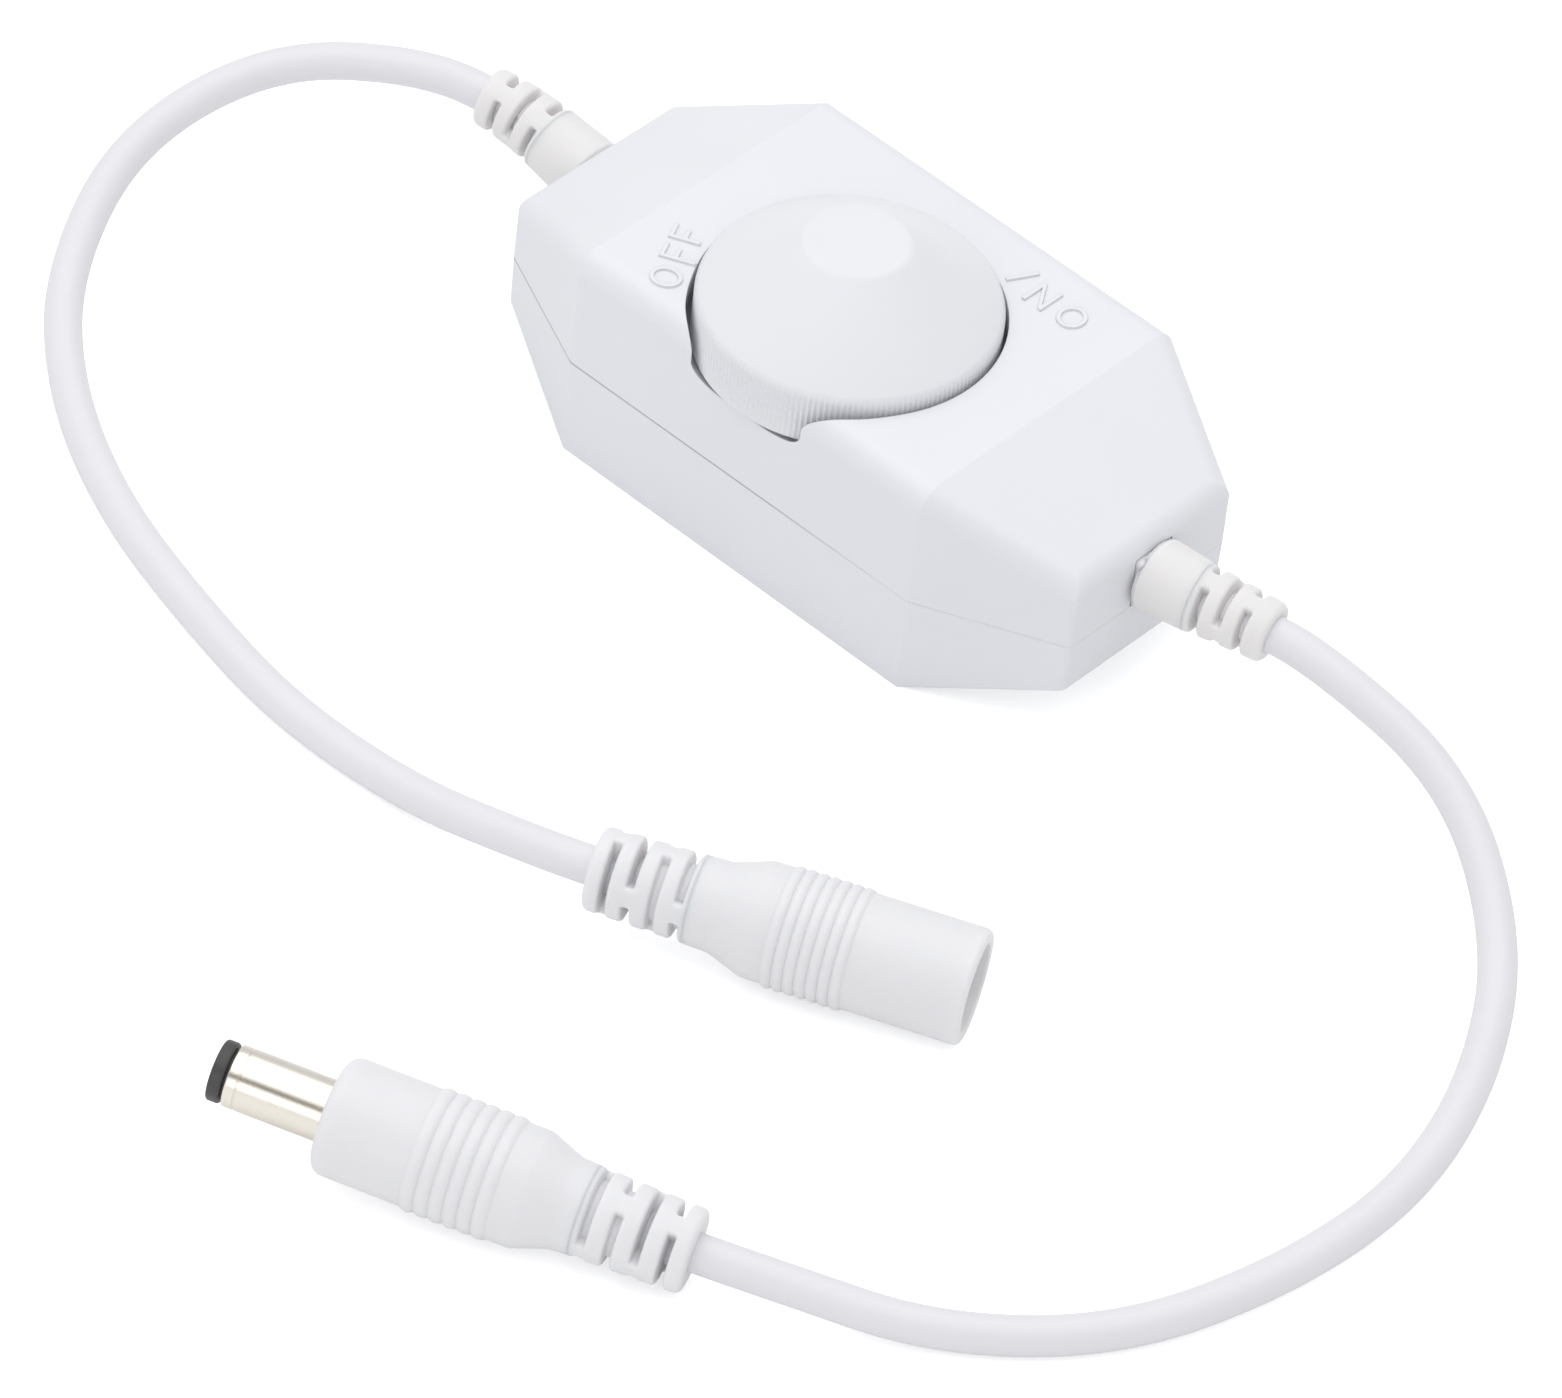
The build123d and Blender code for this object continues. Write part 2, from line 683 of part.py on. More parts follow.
def board():
    """Board with relief for the bosses and holes for leads."""
    span = (BOARD_LOW, BOARD_TOP)
    flat = block((-BOARD_HALF_LENGTH, BOARD_HALF_LENGTH), (-BOARD_HALF_WIDTH, BOARD_HALF_WIDTH), span)
    reach = KNOB_Y - POT_RADIUS - WAFER_TONGUE
    flat = flat + block((KNOB_X - BOARD_TONGUE_HALF, KNOB_X + BOARD_TONGUE_HALF), (reach, 0), span)
    for x, y in corner_spots():
        flat = flat - post(LOWER_BOSS_RADIUS + BOARD_CLEARANCE, 0, HEIGHT, x, y)
    for x, y in wire_spots(-1) + wire_spots(1):
        flat = flat - post(PAD_HOLE, 0, HEIGHT, x, y)
    for x, y in terminal_spots():
        flat = flat - block(*terminal_span(x, y), (0, HEIGHT))
    for x, y in capacitor_spots():
        flat = flat - post(CAPACITOR_LEAD_RADIUS, 0, HEIGHT, x, y)
    return flat


def capacitor_can():
    """Upright electrolytic capacitor with its rolled groove."""
    low = BOARD_TOP + FIT
    spot = (CAPACITOR_X, CAPACITOR_Y)
    can = post(CAPACITOR_RADIUS, low, low + CAPACITOR_HEIGHT, *spot)
    waist = CAPACITOR_RADIUS - CAPACITOR_GROOVE
    can = can - ring(
        2 * CAPACITOR_RADIUS, waist, low + CAPACITOR_GROOVE_LOW, low + CAPACITOR_GROOVE_HIGH, *spot,
    )
    return fillet(can.edges().group_by(Axis.Z)[-1], CAPACITOR_EDGE)


def capacitor_leads():
    """Two round leads below the capacitor."""
    low = BOARD_LOW - LEAD_STUB
    return Part() + [
        post(CAPACITOR_LEAD_RADIUS, low, BOARD_TOP + FIT, x, y) for x, y in capacitor_spots()
    ]


def mosfet_body():
    """Power transistor's moulded body."""
    low = BOARD_TOP + TAB_THICK
    body = block(
        (MOSFET_X - MOSFET_HALF_LENGTH, MOSFET_X + MOSFET_HALF_LENGTH),
        (MOSFET_Y - MOSFET_HALF_WIDTH, MOSFET_Y + MOSFET_HALF_WIDTH), (low, low + MOSFET_HEIGHT),
    )
    return chamfer(body.edges().group_by(Axis.Z)[-1], BODY_BEVEL)


def mosfet_leads():
    """Power transistor's heat tab and two legs."""
    front = MOSFET_Y - MOSFET_HALF_WIDTH
    parts = [block(
        (MOSFET_X - TAB_HALF_LENGTH, MOSFET_X + TAB_HALF_LENGTH),
        (front, MOSFET_Y + MOSFET_HALF_WIDTH + TAB_REACH), (BOARD_TOP, BOARD_TOP + TAB_THICK),
    )]
    bend = front - LEG_THICK - FIT
    for step in (-LEG_SPREAD, LEG_SPREAD):
        width = (MOSFET_X + step - LEG_HALF, MOSFET_X + step + LEG_HALF)
        flat = block(width, (front - LEG_REACH, bend), (BOARD_TOP, BOARD_TOP + LEG_THICK))
        rise = block(width, (bend, bend + LEG_THICK), (BOARD_TOP, BOARD_TOP + LEG_RISE))
        root = block(width, (bend, front), (BOARD_TOP + LEG_RISE - LEG_THICK, BOARD_TOP + LEG_RISE))
        parts.append(flat + rise + root)
    return Part() + parts


def controller_chip():
    """Eight-lead controller's moulded body."""
    body = block(
        (CHIP_X - CHIP_HALF_LENGTH, CHIP_X + CHIP_HALF_LENGTH),
        (CHIP_Y - CHIP_HALF_WIDTH, CHIP_Y + CHIP_HALF_WIDTH),
        (BOARD_TOP + CHIP_LIFT, BOARD_TOP + CHIP_HEIGHT),
    )
    return chamfer(body.edges().group_by(Axis.Z)[-1], BODY_BEVEL)


def chip_lead(x, side):
    """One bent lead on a long side of the controller."""
    width = (x - CHIP_LEAD_HALF, x + CHIP_LEAD_HALF)
    inner = CHIP_Y + side * CHIP_HALF_WIDTH
    shoulder = inner + side * CHIP_SHOULDER
    bend = shoulder - side * CHIP_LEAD_THICK
    outer = inner + side * CHIP_FOOT
    high = BOARD_TOP + CHIP_LEAD_HIGH
    top = block(width, sorted((inner, shoulder)), (high - CHIP_LEAD_THICK, high))
    drop = block(width, sorted((bend, shoulder)), (BOARD_TOP, high))
    return top + drop + block(width, sorted((bend, outer)), (BOARD_TOP, BOARD_TOP + CHIP_LEAD_THICK))


def chip_leads():
    """Eight bent leads along the controller's two long sides."""
    centre = (CHIP_LEADS - 1) / 2
    spots = [CHIP_X + (index - centre) * CHIP_PITCH for index in range(CHIP_LEADS)]
    return Part() + [chip_lead(x, side) for side in (-1, 1) for x in spots]


def chips(spots, size):
    """Small rectangular parts on the board, of one length, width and height."""
    length, width, height = size
    lift = BOARD_TOP + height / 2
    return Part() + [Pos(x, y, lift) * Box(length, width, height) for x, y in spots]


def chip_resistors():
    """Chip resistors in a row beside the controller."""
    x, y = RESISTOR_START
    return chips([(x + RESISTOR_STEP * index, y) for index in range(RESISTORS)], RESISTOR_SIZE)


def chip_capacitors():
    """Chip capacitors in a row beside the power transistor."""
    x, y = CERAMIC_START
    return chips([(x, y - CERAMIC_STEP * index) for index in range(CERAMICS)], CERAMIC_SIZE)


def solder_cone(x, y, hole):
    """Solder cone under the board round a hole of a given radius."""
    cone = Cone(hole + FIT, hole + TERMINAL_HALF_WIDTH, SOLDER_RISE)
    return Pos(x, y, BOARD_LOW - SOLDER_RISE / 2) * cone


def solder_joints():
    """Solder cones under the board round every wire, terminal and lead."""
    cones = []
    for x, y in wire_spots(-1) + wire_spots(1):
        cones.append(solder_cone(x, y, PAD_HOLE) - post(PAD_HOLE, 0, HEIGHT, x, y))
    for x, y in terminal_spots():
        cones.append(solder_cone(x, y, PAD_HOLE) - block(*terminal_span(x, y), (0, HEIGHT)))
    for x, y in capacitor_spots():
        lead = CAPACITOR_LEAD_RADIUS
        cones.append(solder_cone(x, y, lead) - post(lead, 0, HEIGHT, x, y))
    return Part() + cones


def inner_wires(side):
    """Two insulated wires from a cord's end down to the board."""
    wires = []
    for x, y in wire_spots(side):
        start = (side * (CORD_START_X - FIT), y / 3, CORD_EXIT_Z)
        knee = (side * (CORD_START_X - 4.0), y / 2, CORD_EXIT_Z - WIRE_RADIUS)
        top = (x, y, BOARD_TOP + 3.5)
        line = FilletPolyline([start, knee, top, (x, y, BOARD_LOW - SOLDER_RISE / 2)], radius=WIRE_BEND)
        section = Plane(origin=line.position_at(0), z_dir=line.tangent_at(0)) * Circle(WIRE_RADIUS)
        wires.append(sweep(section, path=line))
    return Part() + wires


# Cords
def corner_radii(points):
    """Bend radius at every inner corner: 0.45 of the shorter run over the tangent of half the turn."""
    radii = []
    spots = [Vector(*point) for point in points]
    for before, here, after in zip(spots, spots[1:], spots[2:]):
        runs = (here - before, after - here)
        turn = runs[0].get_angle(runs[1])
        radii.append(0.45 * min(run.length for run in runs) / tan(radians(turn) / 2))
    return radii


def cord_path(points, label):
    """Centre line of straight runs joined by tangent arcs."""
    radii = corner_radii(points)
    print(label, "bend radii", [round(radius, 1) for radius in radii])
    return FilletPolyline(points, radius=radii)


def cord(path, label):
    """Round cord along its centre line."""
    section = Plane(origin=path.position_at(0), z_dir=path.tangent_at(0)) * Circle(CORD_RADIUS)
    tube = sweep(section, path=path)
    ideal = pi * CORD_RADIUS ** 2 * path.length
    print(f"{label} length {path.length:.1f} mm, volume {tube.volume:.1f}, section by length {ideal:.1f} mm3")
    return tube


def cross_plane(path, distance):
    """Plane square to a centre line, its X axis level."""
    along = path.tangent_at(distance / path.length)
    level = Vector(-along.Y, along.X, 0)
    return Plane(origin=path.position_at(distance / path.length), x_dir=level, z_dir=along)


def slot_cutter(plane, core, upright):
    """Pair of windows cut from a round body, parted by two webs."""
    reach = 2 * RELIEF_RADIUS
    webs = Rectangle(2 * WEB_HALF, 3 * reach) if upright else Rectangle(3 * reach, 2 * WEB_HALF)
    windows = Circle(reach) - Circle(core) - webs
    low = plane.offset(-SLOT_WIDTH / 2)
    return extrude(low * windows, amount=SLOT_WIDTH)


def round_length(path, stations):
    """Round body through circles at stations along a centre line, given as distance and radius."""
    sections = [cross_plane(path, distance) * Circle(radius) for distance, radius in stations]
    return loft(sections)


def relief_body(path, end):
    """Tapered round body of a strain relief along the cord, its two rims rounded."""
    stations = []
    for step in range(RELIEF_SECTIONS):
        share = step / (RELIEF_SECTIONS - 1)
        distance = RELIEF_ROOT + RELIEF_START + share * (end - RELIEF_START)
        stations.append((distance, RELIEF_RADIUS - (RELIEF_RADIUS - RELIEF_TIP_RADIUS) * share))
    body = round_length(path, stations)
    return fillet(body.edges().filter_by(lambda edge: edge.is_closed), RELIEF_EDGE)


def strain_relief(path, tube, side, end, first, pitch):
    """Slotted strain relief: flange inside the casing, neck in the notch, body along the cord."""
    body = relief_body(path, end)
    for index in range(RELIEF_SLOTS):
        plane = cross_plane(path, RELIEF_ROOT + first + index * pitch)
        body = body - slot_cutter(plane, CORD_RADIUS - FIT, index % 2 == 0)
    flange_x = sorted((side * (FLANGE_X - FLANGE_THICK), side * FLANGE_X))
    flange = block(flange_x, (-FLANGE_HALF, FLANGE_HALF), (FLANGE_LOW, FLANGE_HIGH))
    neck_x = sorted((side * FLANGE_X, side * (HALF_LENGTH + RELIEF_START + RELIEF_EDGE)))
    half = NOTCH_HALF - FIT
    neck = block(neck_x, (-half, half), (PARTING + FIT, NOTCH_TOP - FIT))
    return flange + neck + body - tube


# Connectors
def grip_outline(start, ribs, pitch, radius):
    """Scalloped outline of a row of grip ribs, as arcs in radius and station."""
    arcs = []
    for index in range(ribs):
        low = start + index * pitch
        arcs.append(ThreePointArc((radius, low), (GRIP_CREST, low + pitch / 2), (radius, low + pitch)))
    return arcs


def housing(frame, front, rounding, grip, taper, first, end):
    """Moulded housing: rounded front, ribbed grip, taper and slotted length's blank."""
    start, ribs, pitch = grip
    finish = start + ribs * pitch
    knee = rounding * (1 - sqrt(0.5))
    lines = [Line((0, front), (HOUSING_RADIUS - rounding, front))]
    lines.append(ThreePointArc(
        (HOUSING_RADIUS - rounding, front), (HOUSING_RADIUS - knee, front + knee),
        (HOUSING_RADIUS, front + rounding),
    ))
    lines.append(Line((HOUSING_RADIUS, front + rounding), (HOUSING_RADIUS, start)))
    lines += grip_outline(start, ribs, pitch, HOUSING_RADIUS)
    lines.append(Line((HOUSING_RADIUS, finish), (HOUSING_RADIUS, taper[0])))
    lines.append(Spline(
        (HOUSING_RADIUS, taper[0]), ((HOUSING_RADIUS + TAPER_NECK_RADIUS) / 2, (taper[0] + taper[1]) / 2),
        (TAPER_NECK_RADIUS, taper[1]), tangents=[(-0.15, 1), (-0.05, 1)],
    ))
    lines.append(Polyline(
        (TAPER_NECK_RADIUS, taper[1]), (TAIL_RADIUS, first - TAIL_LEAD), (TAIL_TIP_RADIUS, end - TAIL_EDGE),
        (TAIL_TIP_RADIUS - TAIL_EDGE, end), (0, end), (0, front),
    ))
    return turned(Curve() + lines, frame)


def slotted_tail(body, frame, first, pitch, roll):
    """Windows along the tail: half shallow and half down to the cord, webs turned by turns."""
    for index in range(TAIL_SLOTS):
        core = TAIL_SHALLOW_RADIUS if index < TAIL_SLOTS / 2 else CORD_RADIUS - FIT
        plane = station_plane(frame, first + index * pitch, roll)
        body = body - slot_cutter(plane, core, index % 2 == 1)
    return body


def along(frame, radius, low, high):
    """Cylinder on a connector's axis between two stations."""
    return extrude(station_plane(frame, low) * Circle(radius), amount=high - low)


def plug_housing(tube):
    """Male plug's moulded housing."""
    body = housing(
        PLUG_FRAME, PLUG_FRONT, PLUG_FRONT_ROUND, (PLUG_GRIP_START, PLUG_RIBS, PLUG_RIB_PITCH),
        (PLUG_TAPER_START, PLUG_TAPER_END), PLUG_FIRST_SLOT, PLUG_END,
    )
    body = slotted_tail(body, PLUG_FRAME, PLUG_FIRST_SLOT, PLUG_TAIL_PITCH, PLUG_ROLL)
    return body - along(PLUG_FRAME, BARREL_ROOT_RADIUS, 0, PLUG_FRONT + BARREL_ROOT) - tube


def plug_barrel():
    """Bright outer sleeve of the plug, wider where the housing holds it."""
    low = BARREL_TIP + BARREL_GROOVE
    high = PLUG_FRONT + BARREL_ROOT
    sleeve = along(PLUG_FRAME, BARREL_RADIUS, low, PLUG_FRONT)
    root = along(PLUG_FRAME, BARREL_ROOT_RADIUS, PLUG_FRONT, high)
    return sleeve + root - along(PLUG_FRAME, BARREL_BORE, low, high)


def plug_insulator():
    """Black insulating tip and the sleeve behind it."""
    high = PLUG_FRONT + PIN_SLEEVE_ROOT
    tip = along(PLUG_FRAME, BARREL_RADIUS - RUNNING_GAP, 0, BARREL_TIP)
    tip = fillet(tip.edges().filter_by(GeomType.CIRCLE), BARREL_GROOVE)
    sleeve = along(PLUG_FRAME, BARREL_BORE, BARREL_TIP / 2, high)
    return tip + sleeve - along(PLUG_FRAME, PIN_SLEEVE_RADIUS, -1, high)


def plug_inner_contact():
    """Inner sleeve that takes the socket's pin, closed at its back."""
    high = PLUG_FRONT + PIN_SLEEVE_ROOT
    sleeve = along(PLUG_FRAME, PIN_SLEEVE_RADIUS, PIN_SLEEVE_LOW, high)
    return sleeve - along(PLUG_FRAME, PIN_RADIUS, 0, high - PIN_SLEEVE_BACK)


def jack_housing(tube):
    """Female jack's moulded housing with its open mouth."""
    body = housing(
        JACK_FRAME, 0, JACK_FRONT_ROUND, (JACK_GRIP_START, JACK_RIBS, JACK_RIB_PITCH),
        (JACK_TAPER_START, JACK_TAPER_END), JACK_FIRST_SLOT, JACK_END,
    )
    body = slotted_tail(body, JACK_FRAME, JACK_FIRST_SLOT, JACK_TAIL_PITCH, JACK_ROLL)
    return body - along(JACK_FRAME, JACK_MOUTH_RADIUS, -1, JACK_INSERT_DEPTH) - tube


def jack_insert():
    """Insulating block in the jack with the round socket and a slot for the spring."""
    floor = JACK_RECESS + JACK_SOCKET_DEPTH
    insert = along(JACK_FRAME, JACK_MOUTH_RADIUS, JACK_RECESS, JACK_INSERT_DEPTH)
    insert = insert - along(JACK_FRAME, JACK_SOCKET_RADIUS, 0, floor)
    insert = insert - along(JACK_FRAME, JACK_PIN_ROOT_RADIUS, floor, JACK_INSERT_DEPTH)
    return insert - spring_channel()


def spring_channel():
    """Room along the socket's wall for the spring contact."""
    low = SPRING_LOW - SPRING_ROOM
    high = SPRING_HIGH + SPRING_ROOM
    outer = JACK_SOCKET_RADIUS + SPRING_REST + SPRING_ROOM
    inner = JACK_SOCKET_RADIUS - SPRING_REST - SPRING_ROOM
    half = SPRING_HALF_WIDTH + SPRING_ROOM
    return JACK_FRAME.location * block((inner, outer), (-half, half), (low, high))


def jack_centre_pin():
    """Centre pin of the socket with its rounded tip and the wider root that holds it."""
    floor = JACK_RECESS + JACK_SOCKET_DEPTH
    pin = along(JACK_FRAME, PIN_RADIUS, JACK_PIN_LOW, floor)
    ends = pin.edges().filter_by(GeomType.CIRCLE)
    tip = min(ends, key=lambda edge: (edge.center() - JACK_FRAME.origin).length)
    return fillet(tip, JACK_PIN_TIP) + along(JACK_FRAME, JACK_PIN_ROOT_RADIUS, floor, JACK_INSERT_DEPTH)


def jack_spring_contact():
    """Bowed leaf spring that presses on the plug's sleeve."""
    outer = JACK_SOCKET_RADIUS + SPRING_REST
    crest = JACK_SOCKET_RADIUS - SPRING_BOW
    middle = (SPRING_LOW + SPRING_HIGH) / 2
    back = outer - SPRING_THICK
    profile = [
        ThreePointArc((outer, SPRING_LOW), (crest, middle), (outer, SPRING_HIGH)),
        Line((outer, SPRING_HIGH), (back, SPRING_HIGH)),
        ThreePointArc((back, SPRING_HIGH), (crest - SPRING_THICK, middle), (back, SPRING_LOW)),
        Line((back, SPRING_LOW), (outer, SPRING_LOW)),
    ]
    leaf = extrude(Plane.XZ * make_face(Curve() + profile), amount=SPRING_HALF_WIDTH, both=True)
    return JACK_FRAME.location * leaf


# Build
plug_tail = [on_axis(PLUG_FRAME, PLUG_END), on_axis(PLUG_FRAME, PLUG_CORD_END)]
jack_tail = [on_axis(JACK_FRAME, JACK_END), on_axis(JACK_FRAME, JACK_CORD_END)]
output_path = cord_path(OUTPUT_ROUTE + plug_tail, "output cord")
input_path = cord_path(INPUT_ROUTE + jack_tail, "input cord")
output_tube = cord(output_path, "output cord")
input_tube = cord(input_path, "input cord")

save(upper_shell(), "upper_shell")
save(lower_shell(), "lower_shell")
save(case_screws(), "case_screws")
save(knob(), "knob")
save(pot_shaft(), "pot_shaft")
save(pot_case(), "pot_case")
save(pot_bushing(), "pot_bushing")
save(pot_nut(), "pot_nut")
save(pot_wafer(), "pot_wafer")
save(pot_terminals(), "pot_terminals")
save(board(), "circuit_board")
save(capacitor_can(), "capacitor_can")
save(capacitor_leads(), "capacitor_leads")
save(mosfet_body(), "mosfet_body")
save(mosfet_leads(), "mosfet_leads")
save(controller_chip(), "controller_chip")
save(chip_leads(), "chip_leads")
save(chip_resistors(), "chip_resistors")
save(chip_capacitors(), "chip_capacitors")
save(solder_joints(), "solder_joints")
save(inner_wires(1), "output_wires")
save(inner_wires(-1), "input_wires")
output_slots = (OUTPUT_RELIEF_END, OUTPUT_FIRST_SLOT, OUTPUT_SLOT_PITCH)
input_slots = (INPUT_RELIEF_END, INPUT_FIRST_SLOT, INPUT_SLOT_PITCH)
save(strain_relief(output_path, output_tube, 1, *output_slots), "output_strain_relief")
save(strain_relief(input_path, input_tube, -1, *input_slots), "input_strain_relief")
save(output_tube, "output_cord")
save(input_tube, "input_cord")
save(plug_housing(output_tube), "plug_housing")
save(plug_barrel(), "plug_barrel")
save(plug_insulator(), "plug_insulator")
save(plug_inner_contact(), "plug_inner_contact")
save(jack_housing(input_tube), "jack_housing")
save(jack_insert(), "jack_insert")
save(jack_centre_pin(), "jack_centre_pin")
save(jack_spring_contact(), "jack_spring_contact")
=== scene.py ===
"""Visual model of an inline LED strip dimmer, built round its CAD frame."""

import json
import logging
import math
from dataclasses import dataclass, field
from enum import Enum

import bmesh
import bpy
from mathutils import Matrix, Vector

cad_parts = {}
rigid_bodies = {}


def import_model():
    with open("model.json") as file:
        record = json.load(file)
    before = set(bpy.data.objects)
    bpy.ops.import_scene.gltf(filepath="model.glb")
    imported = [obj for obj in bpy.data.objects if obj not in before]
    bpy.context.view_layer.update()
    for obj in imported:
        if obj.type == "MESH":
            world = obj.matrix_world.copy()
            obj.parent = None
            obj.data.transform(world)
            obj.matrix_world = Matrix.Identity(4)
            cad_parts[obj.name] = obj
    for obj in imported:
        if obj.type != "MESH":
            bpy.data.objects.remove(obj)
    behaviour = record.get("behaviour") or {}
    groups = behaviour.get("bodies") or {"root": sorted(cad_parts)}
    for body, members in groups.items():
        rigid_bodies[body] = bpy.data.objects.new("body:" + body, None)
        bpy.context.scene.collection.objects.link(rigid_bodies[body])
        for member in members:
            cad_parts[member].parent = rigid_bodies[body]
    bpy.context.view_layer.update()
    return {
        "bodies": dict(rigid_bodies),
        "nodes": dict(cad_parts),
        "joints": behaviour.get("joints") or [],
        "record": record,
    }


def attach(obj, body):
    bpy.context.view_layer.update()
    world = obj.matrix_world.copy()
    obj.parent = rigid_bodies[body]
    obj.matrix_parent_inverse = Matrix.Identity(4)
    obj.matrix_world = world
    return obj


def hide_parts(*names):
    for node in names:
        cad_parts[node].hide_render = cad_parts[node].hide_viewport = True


MM = 0.001
LOG = logging.getLogger("dimmer")

# Sizes shared with the CAD model, in millimetres and degrees
CORD_RADIUS = 1.76
HALF_LENGTH = 34.2
CORD_START_X = 30.6
KNOB_CENTRE = (-0.2, -3.5)
SEAM_HEIGHT = 10.56
PLUG_ORIGIN = (18.35, -98.81, 7.61)
PLUG_HEADING = 23.87
PLUG_RISE = -4.8
JACK_ORIGIN = (53.35, -42.65, 5.19)
JACK_HEADING = 205.16
JACK_RISE = 1.61
PLUG_TAIL = (42.87, 37.9)
JACK_TAIL = (34.5, 29.5)
OUTPUT_ROUTE = (
    (CORD_START_X, 0.0, 13.3),
    (36.2, 0.1, 13.3),
    (43.3, 2.0, 13.0),
    (51.2, 3.6, 12.6),
    (66.4, 5.0, 8.2),
    (79.1, -2.3, 2.7),
    (87.6, -15.4, CORD_RADIUS),
    (92.1, -30.3, CORD_RADIUS),
    (91.1, -45.7, CORD_RADIUS),
    (86.2, -60.8, CORD_RADIUS),
    (75.8, -71.8, CORD_RADIUS),
    (64.2, -78.2, 3.45),
)
INPUT_ROUTE = (
    (-CORD_START_X, 0.0, 13.3),
    (-36.0, 0.2, 14.0),
    (-44.4, -0.1, 15.75),
    (-53.5, -3.0, 16.6),
    (-65.2, -10.9, 14.2),
    (-69.9, -24.3, 8.9),
    (-64.8, -37.3, 3.2),
    (-54.0, -46.8, CORD_RADIUS),
    (-40.6, -53.7, CORD_RADIUS),
    (-26.6, -57.6, CORD_RADIUS),
    (-12.1, -60.4, CORD_RADIUS),
    (2.6, -59.6, CORD_RADIUS),
    (15.3, -59.0, 5.3),
)

Point = tuple[float, float, float]
Profile = list[tuple[float, float]]


def clamp(value: float) -> float:
    """A value held between 0 and 1."""
    return min(1.0, max(0.0, value))


def blend(low: float, high: float, share: float) -> float:
    """Value at a share of the way from one value to another."""
    return low + (high - low) * share


def ease(share: float) -> float:
    """A share that starts and ends gently."""
    return share * share * (3 - 2 * share)


def link_object(name: str, data: bpy.types.ID) -> bpy.types.Object:
    """Makes an object and links it to the scene.

    Args:
        name: Name of the object.
        data: Its mesh, curve, camera or light.

    Returns:
        The new object.
    """
    piece = bpy.data.objects.new(name, data)
    bpy.context.scene.collection.objects.link(piece)
    return piece


def add_node(
    nodes: bpy.types.Nodes, kind: str, values: dict[str | int, float | tuple[float, ...]]
) -> bpy.types.Node:
    """Adds a node and sets its inputs.

    Args:
        nodes: Nodes of a material or of the world.
        kind: Type of the node.
        values: Value at each input's name or number.

    Returns:
        The new node.
    """
    made = nodes.new(kind)
    for key, value in values.items():
        made.inputs[key].default_value = value
    return made


def mix_by_ray(
    nodes: bpy.types.Nodes, links: bpy.types.NodeLinks, ray: str, other: bpy.types.Node, seen: bpy.types.Node
) -> bpy.types.NodeSocket:
    """Shows one kind of ray a shader of its own.

    Args:
        nodes: Nodes of a material or of the world.
        links: Their links.
        ray: Output of the light path node.
        other: Shader for all other rays.
        seen: Shader for this kind of ray.

    Returns:
        A socket that gives the mixed shader.
    """
    path = nodes.new("ShaderNodeLightPath")
    mix = nodes.new("ShaderNodeMixShader")
    links.new(path.outputs[ray], mix.inputs["Fac"])
    links.new(other.outputs[0], mix.inputs[1])
    links.new(seen.outputs[0], mix.inputs[2])
    return mix.outputs["Shader"]


class Grain(Enum):
    """How a surface's fine relief is laid out."""

    MOULDED = "moulded"
    SOFT = "soft"
    TURNED = "turned"
    SMOOTH = "smooth"


GRAIN_SCALES = {Grain.MOULDED: 5200.0, Grain.SOFT: 3000.0, Grain.TURNED: 2500.0, Grain.SMOOTH: 900.0}
GRAIN_DETAIL = 3.0
TURNED_STRETCH = (1.0, 0.05, 0.05)
CLOUD_SCALE = 90.0
CLOUD_DETAIL = 4.0
ROUGHNESS_SHARES = (0.88, 1.12)
COAT_ROUGHNESS = 0.2
SCATTER_RADII = (0.0012, 0.001, 0.0009)
BUMP_STRENGTH = 0.35
EDGE_SAMPLES = 4


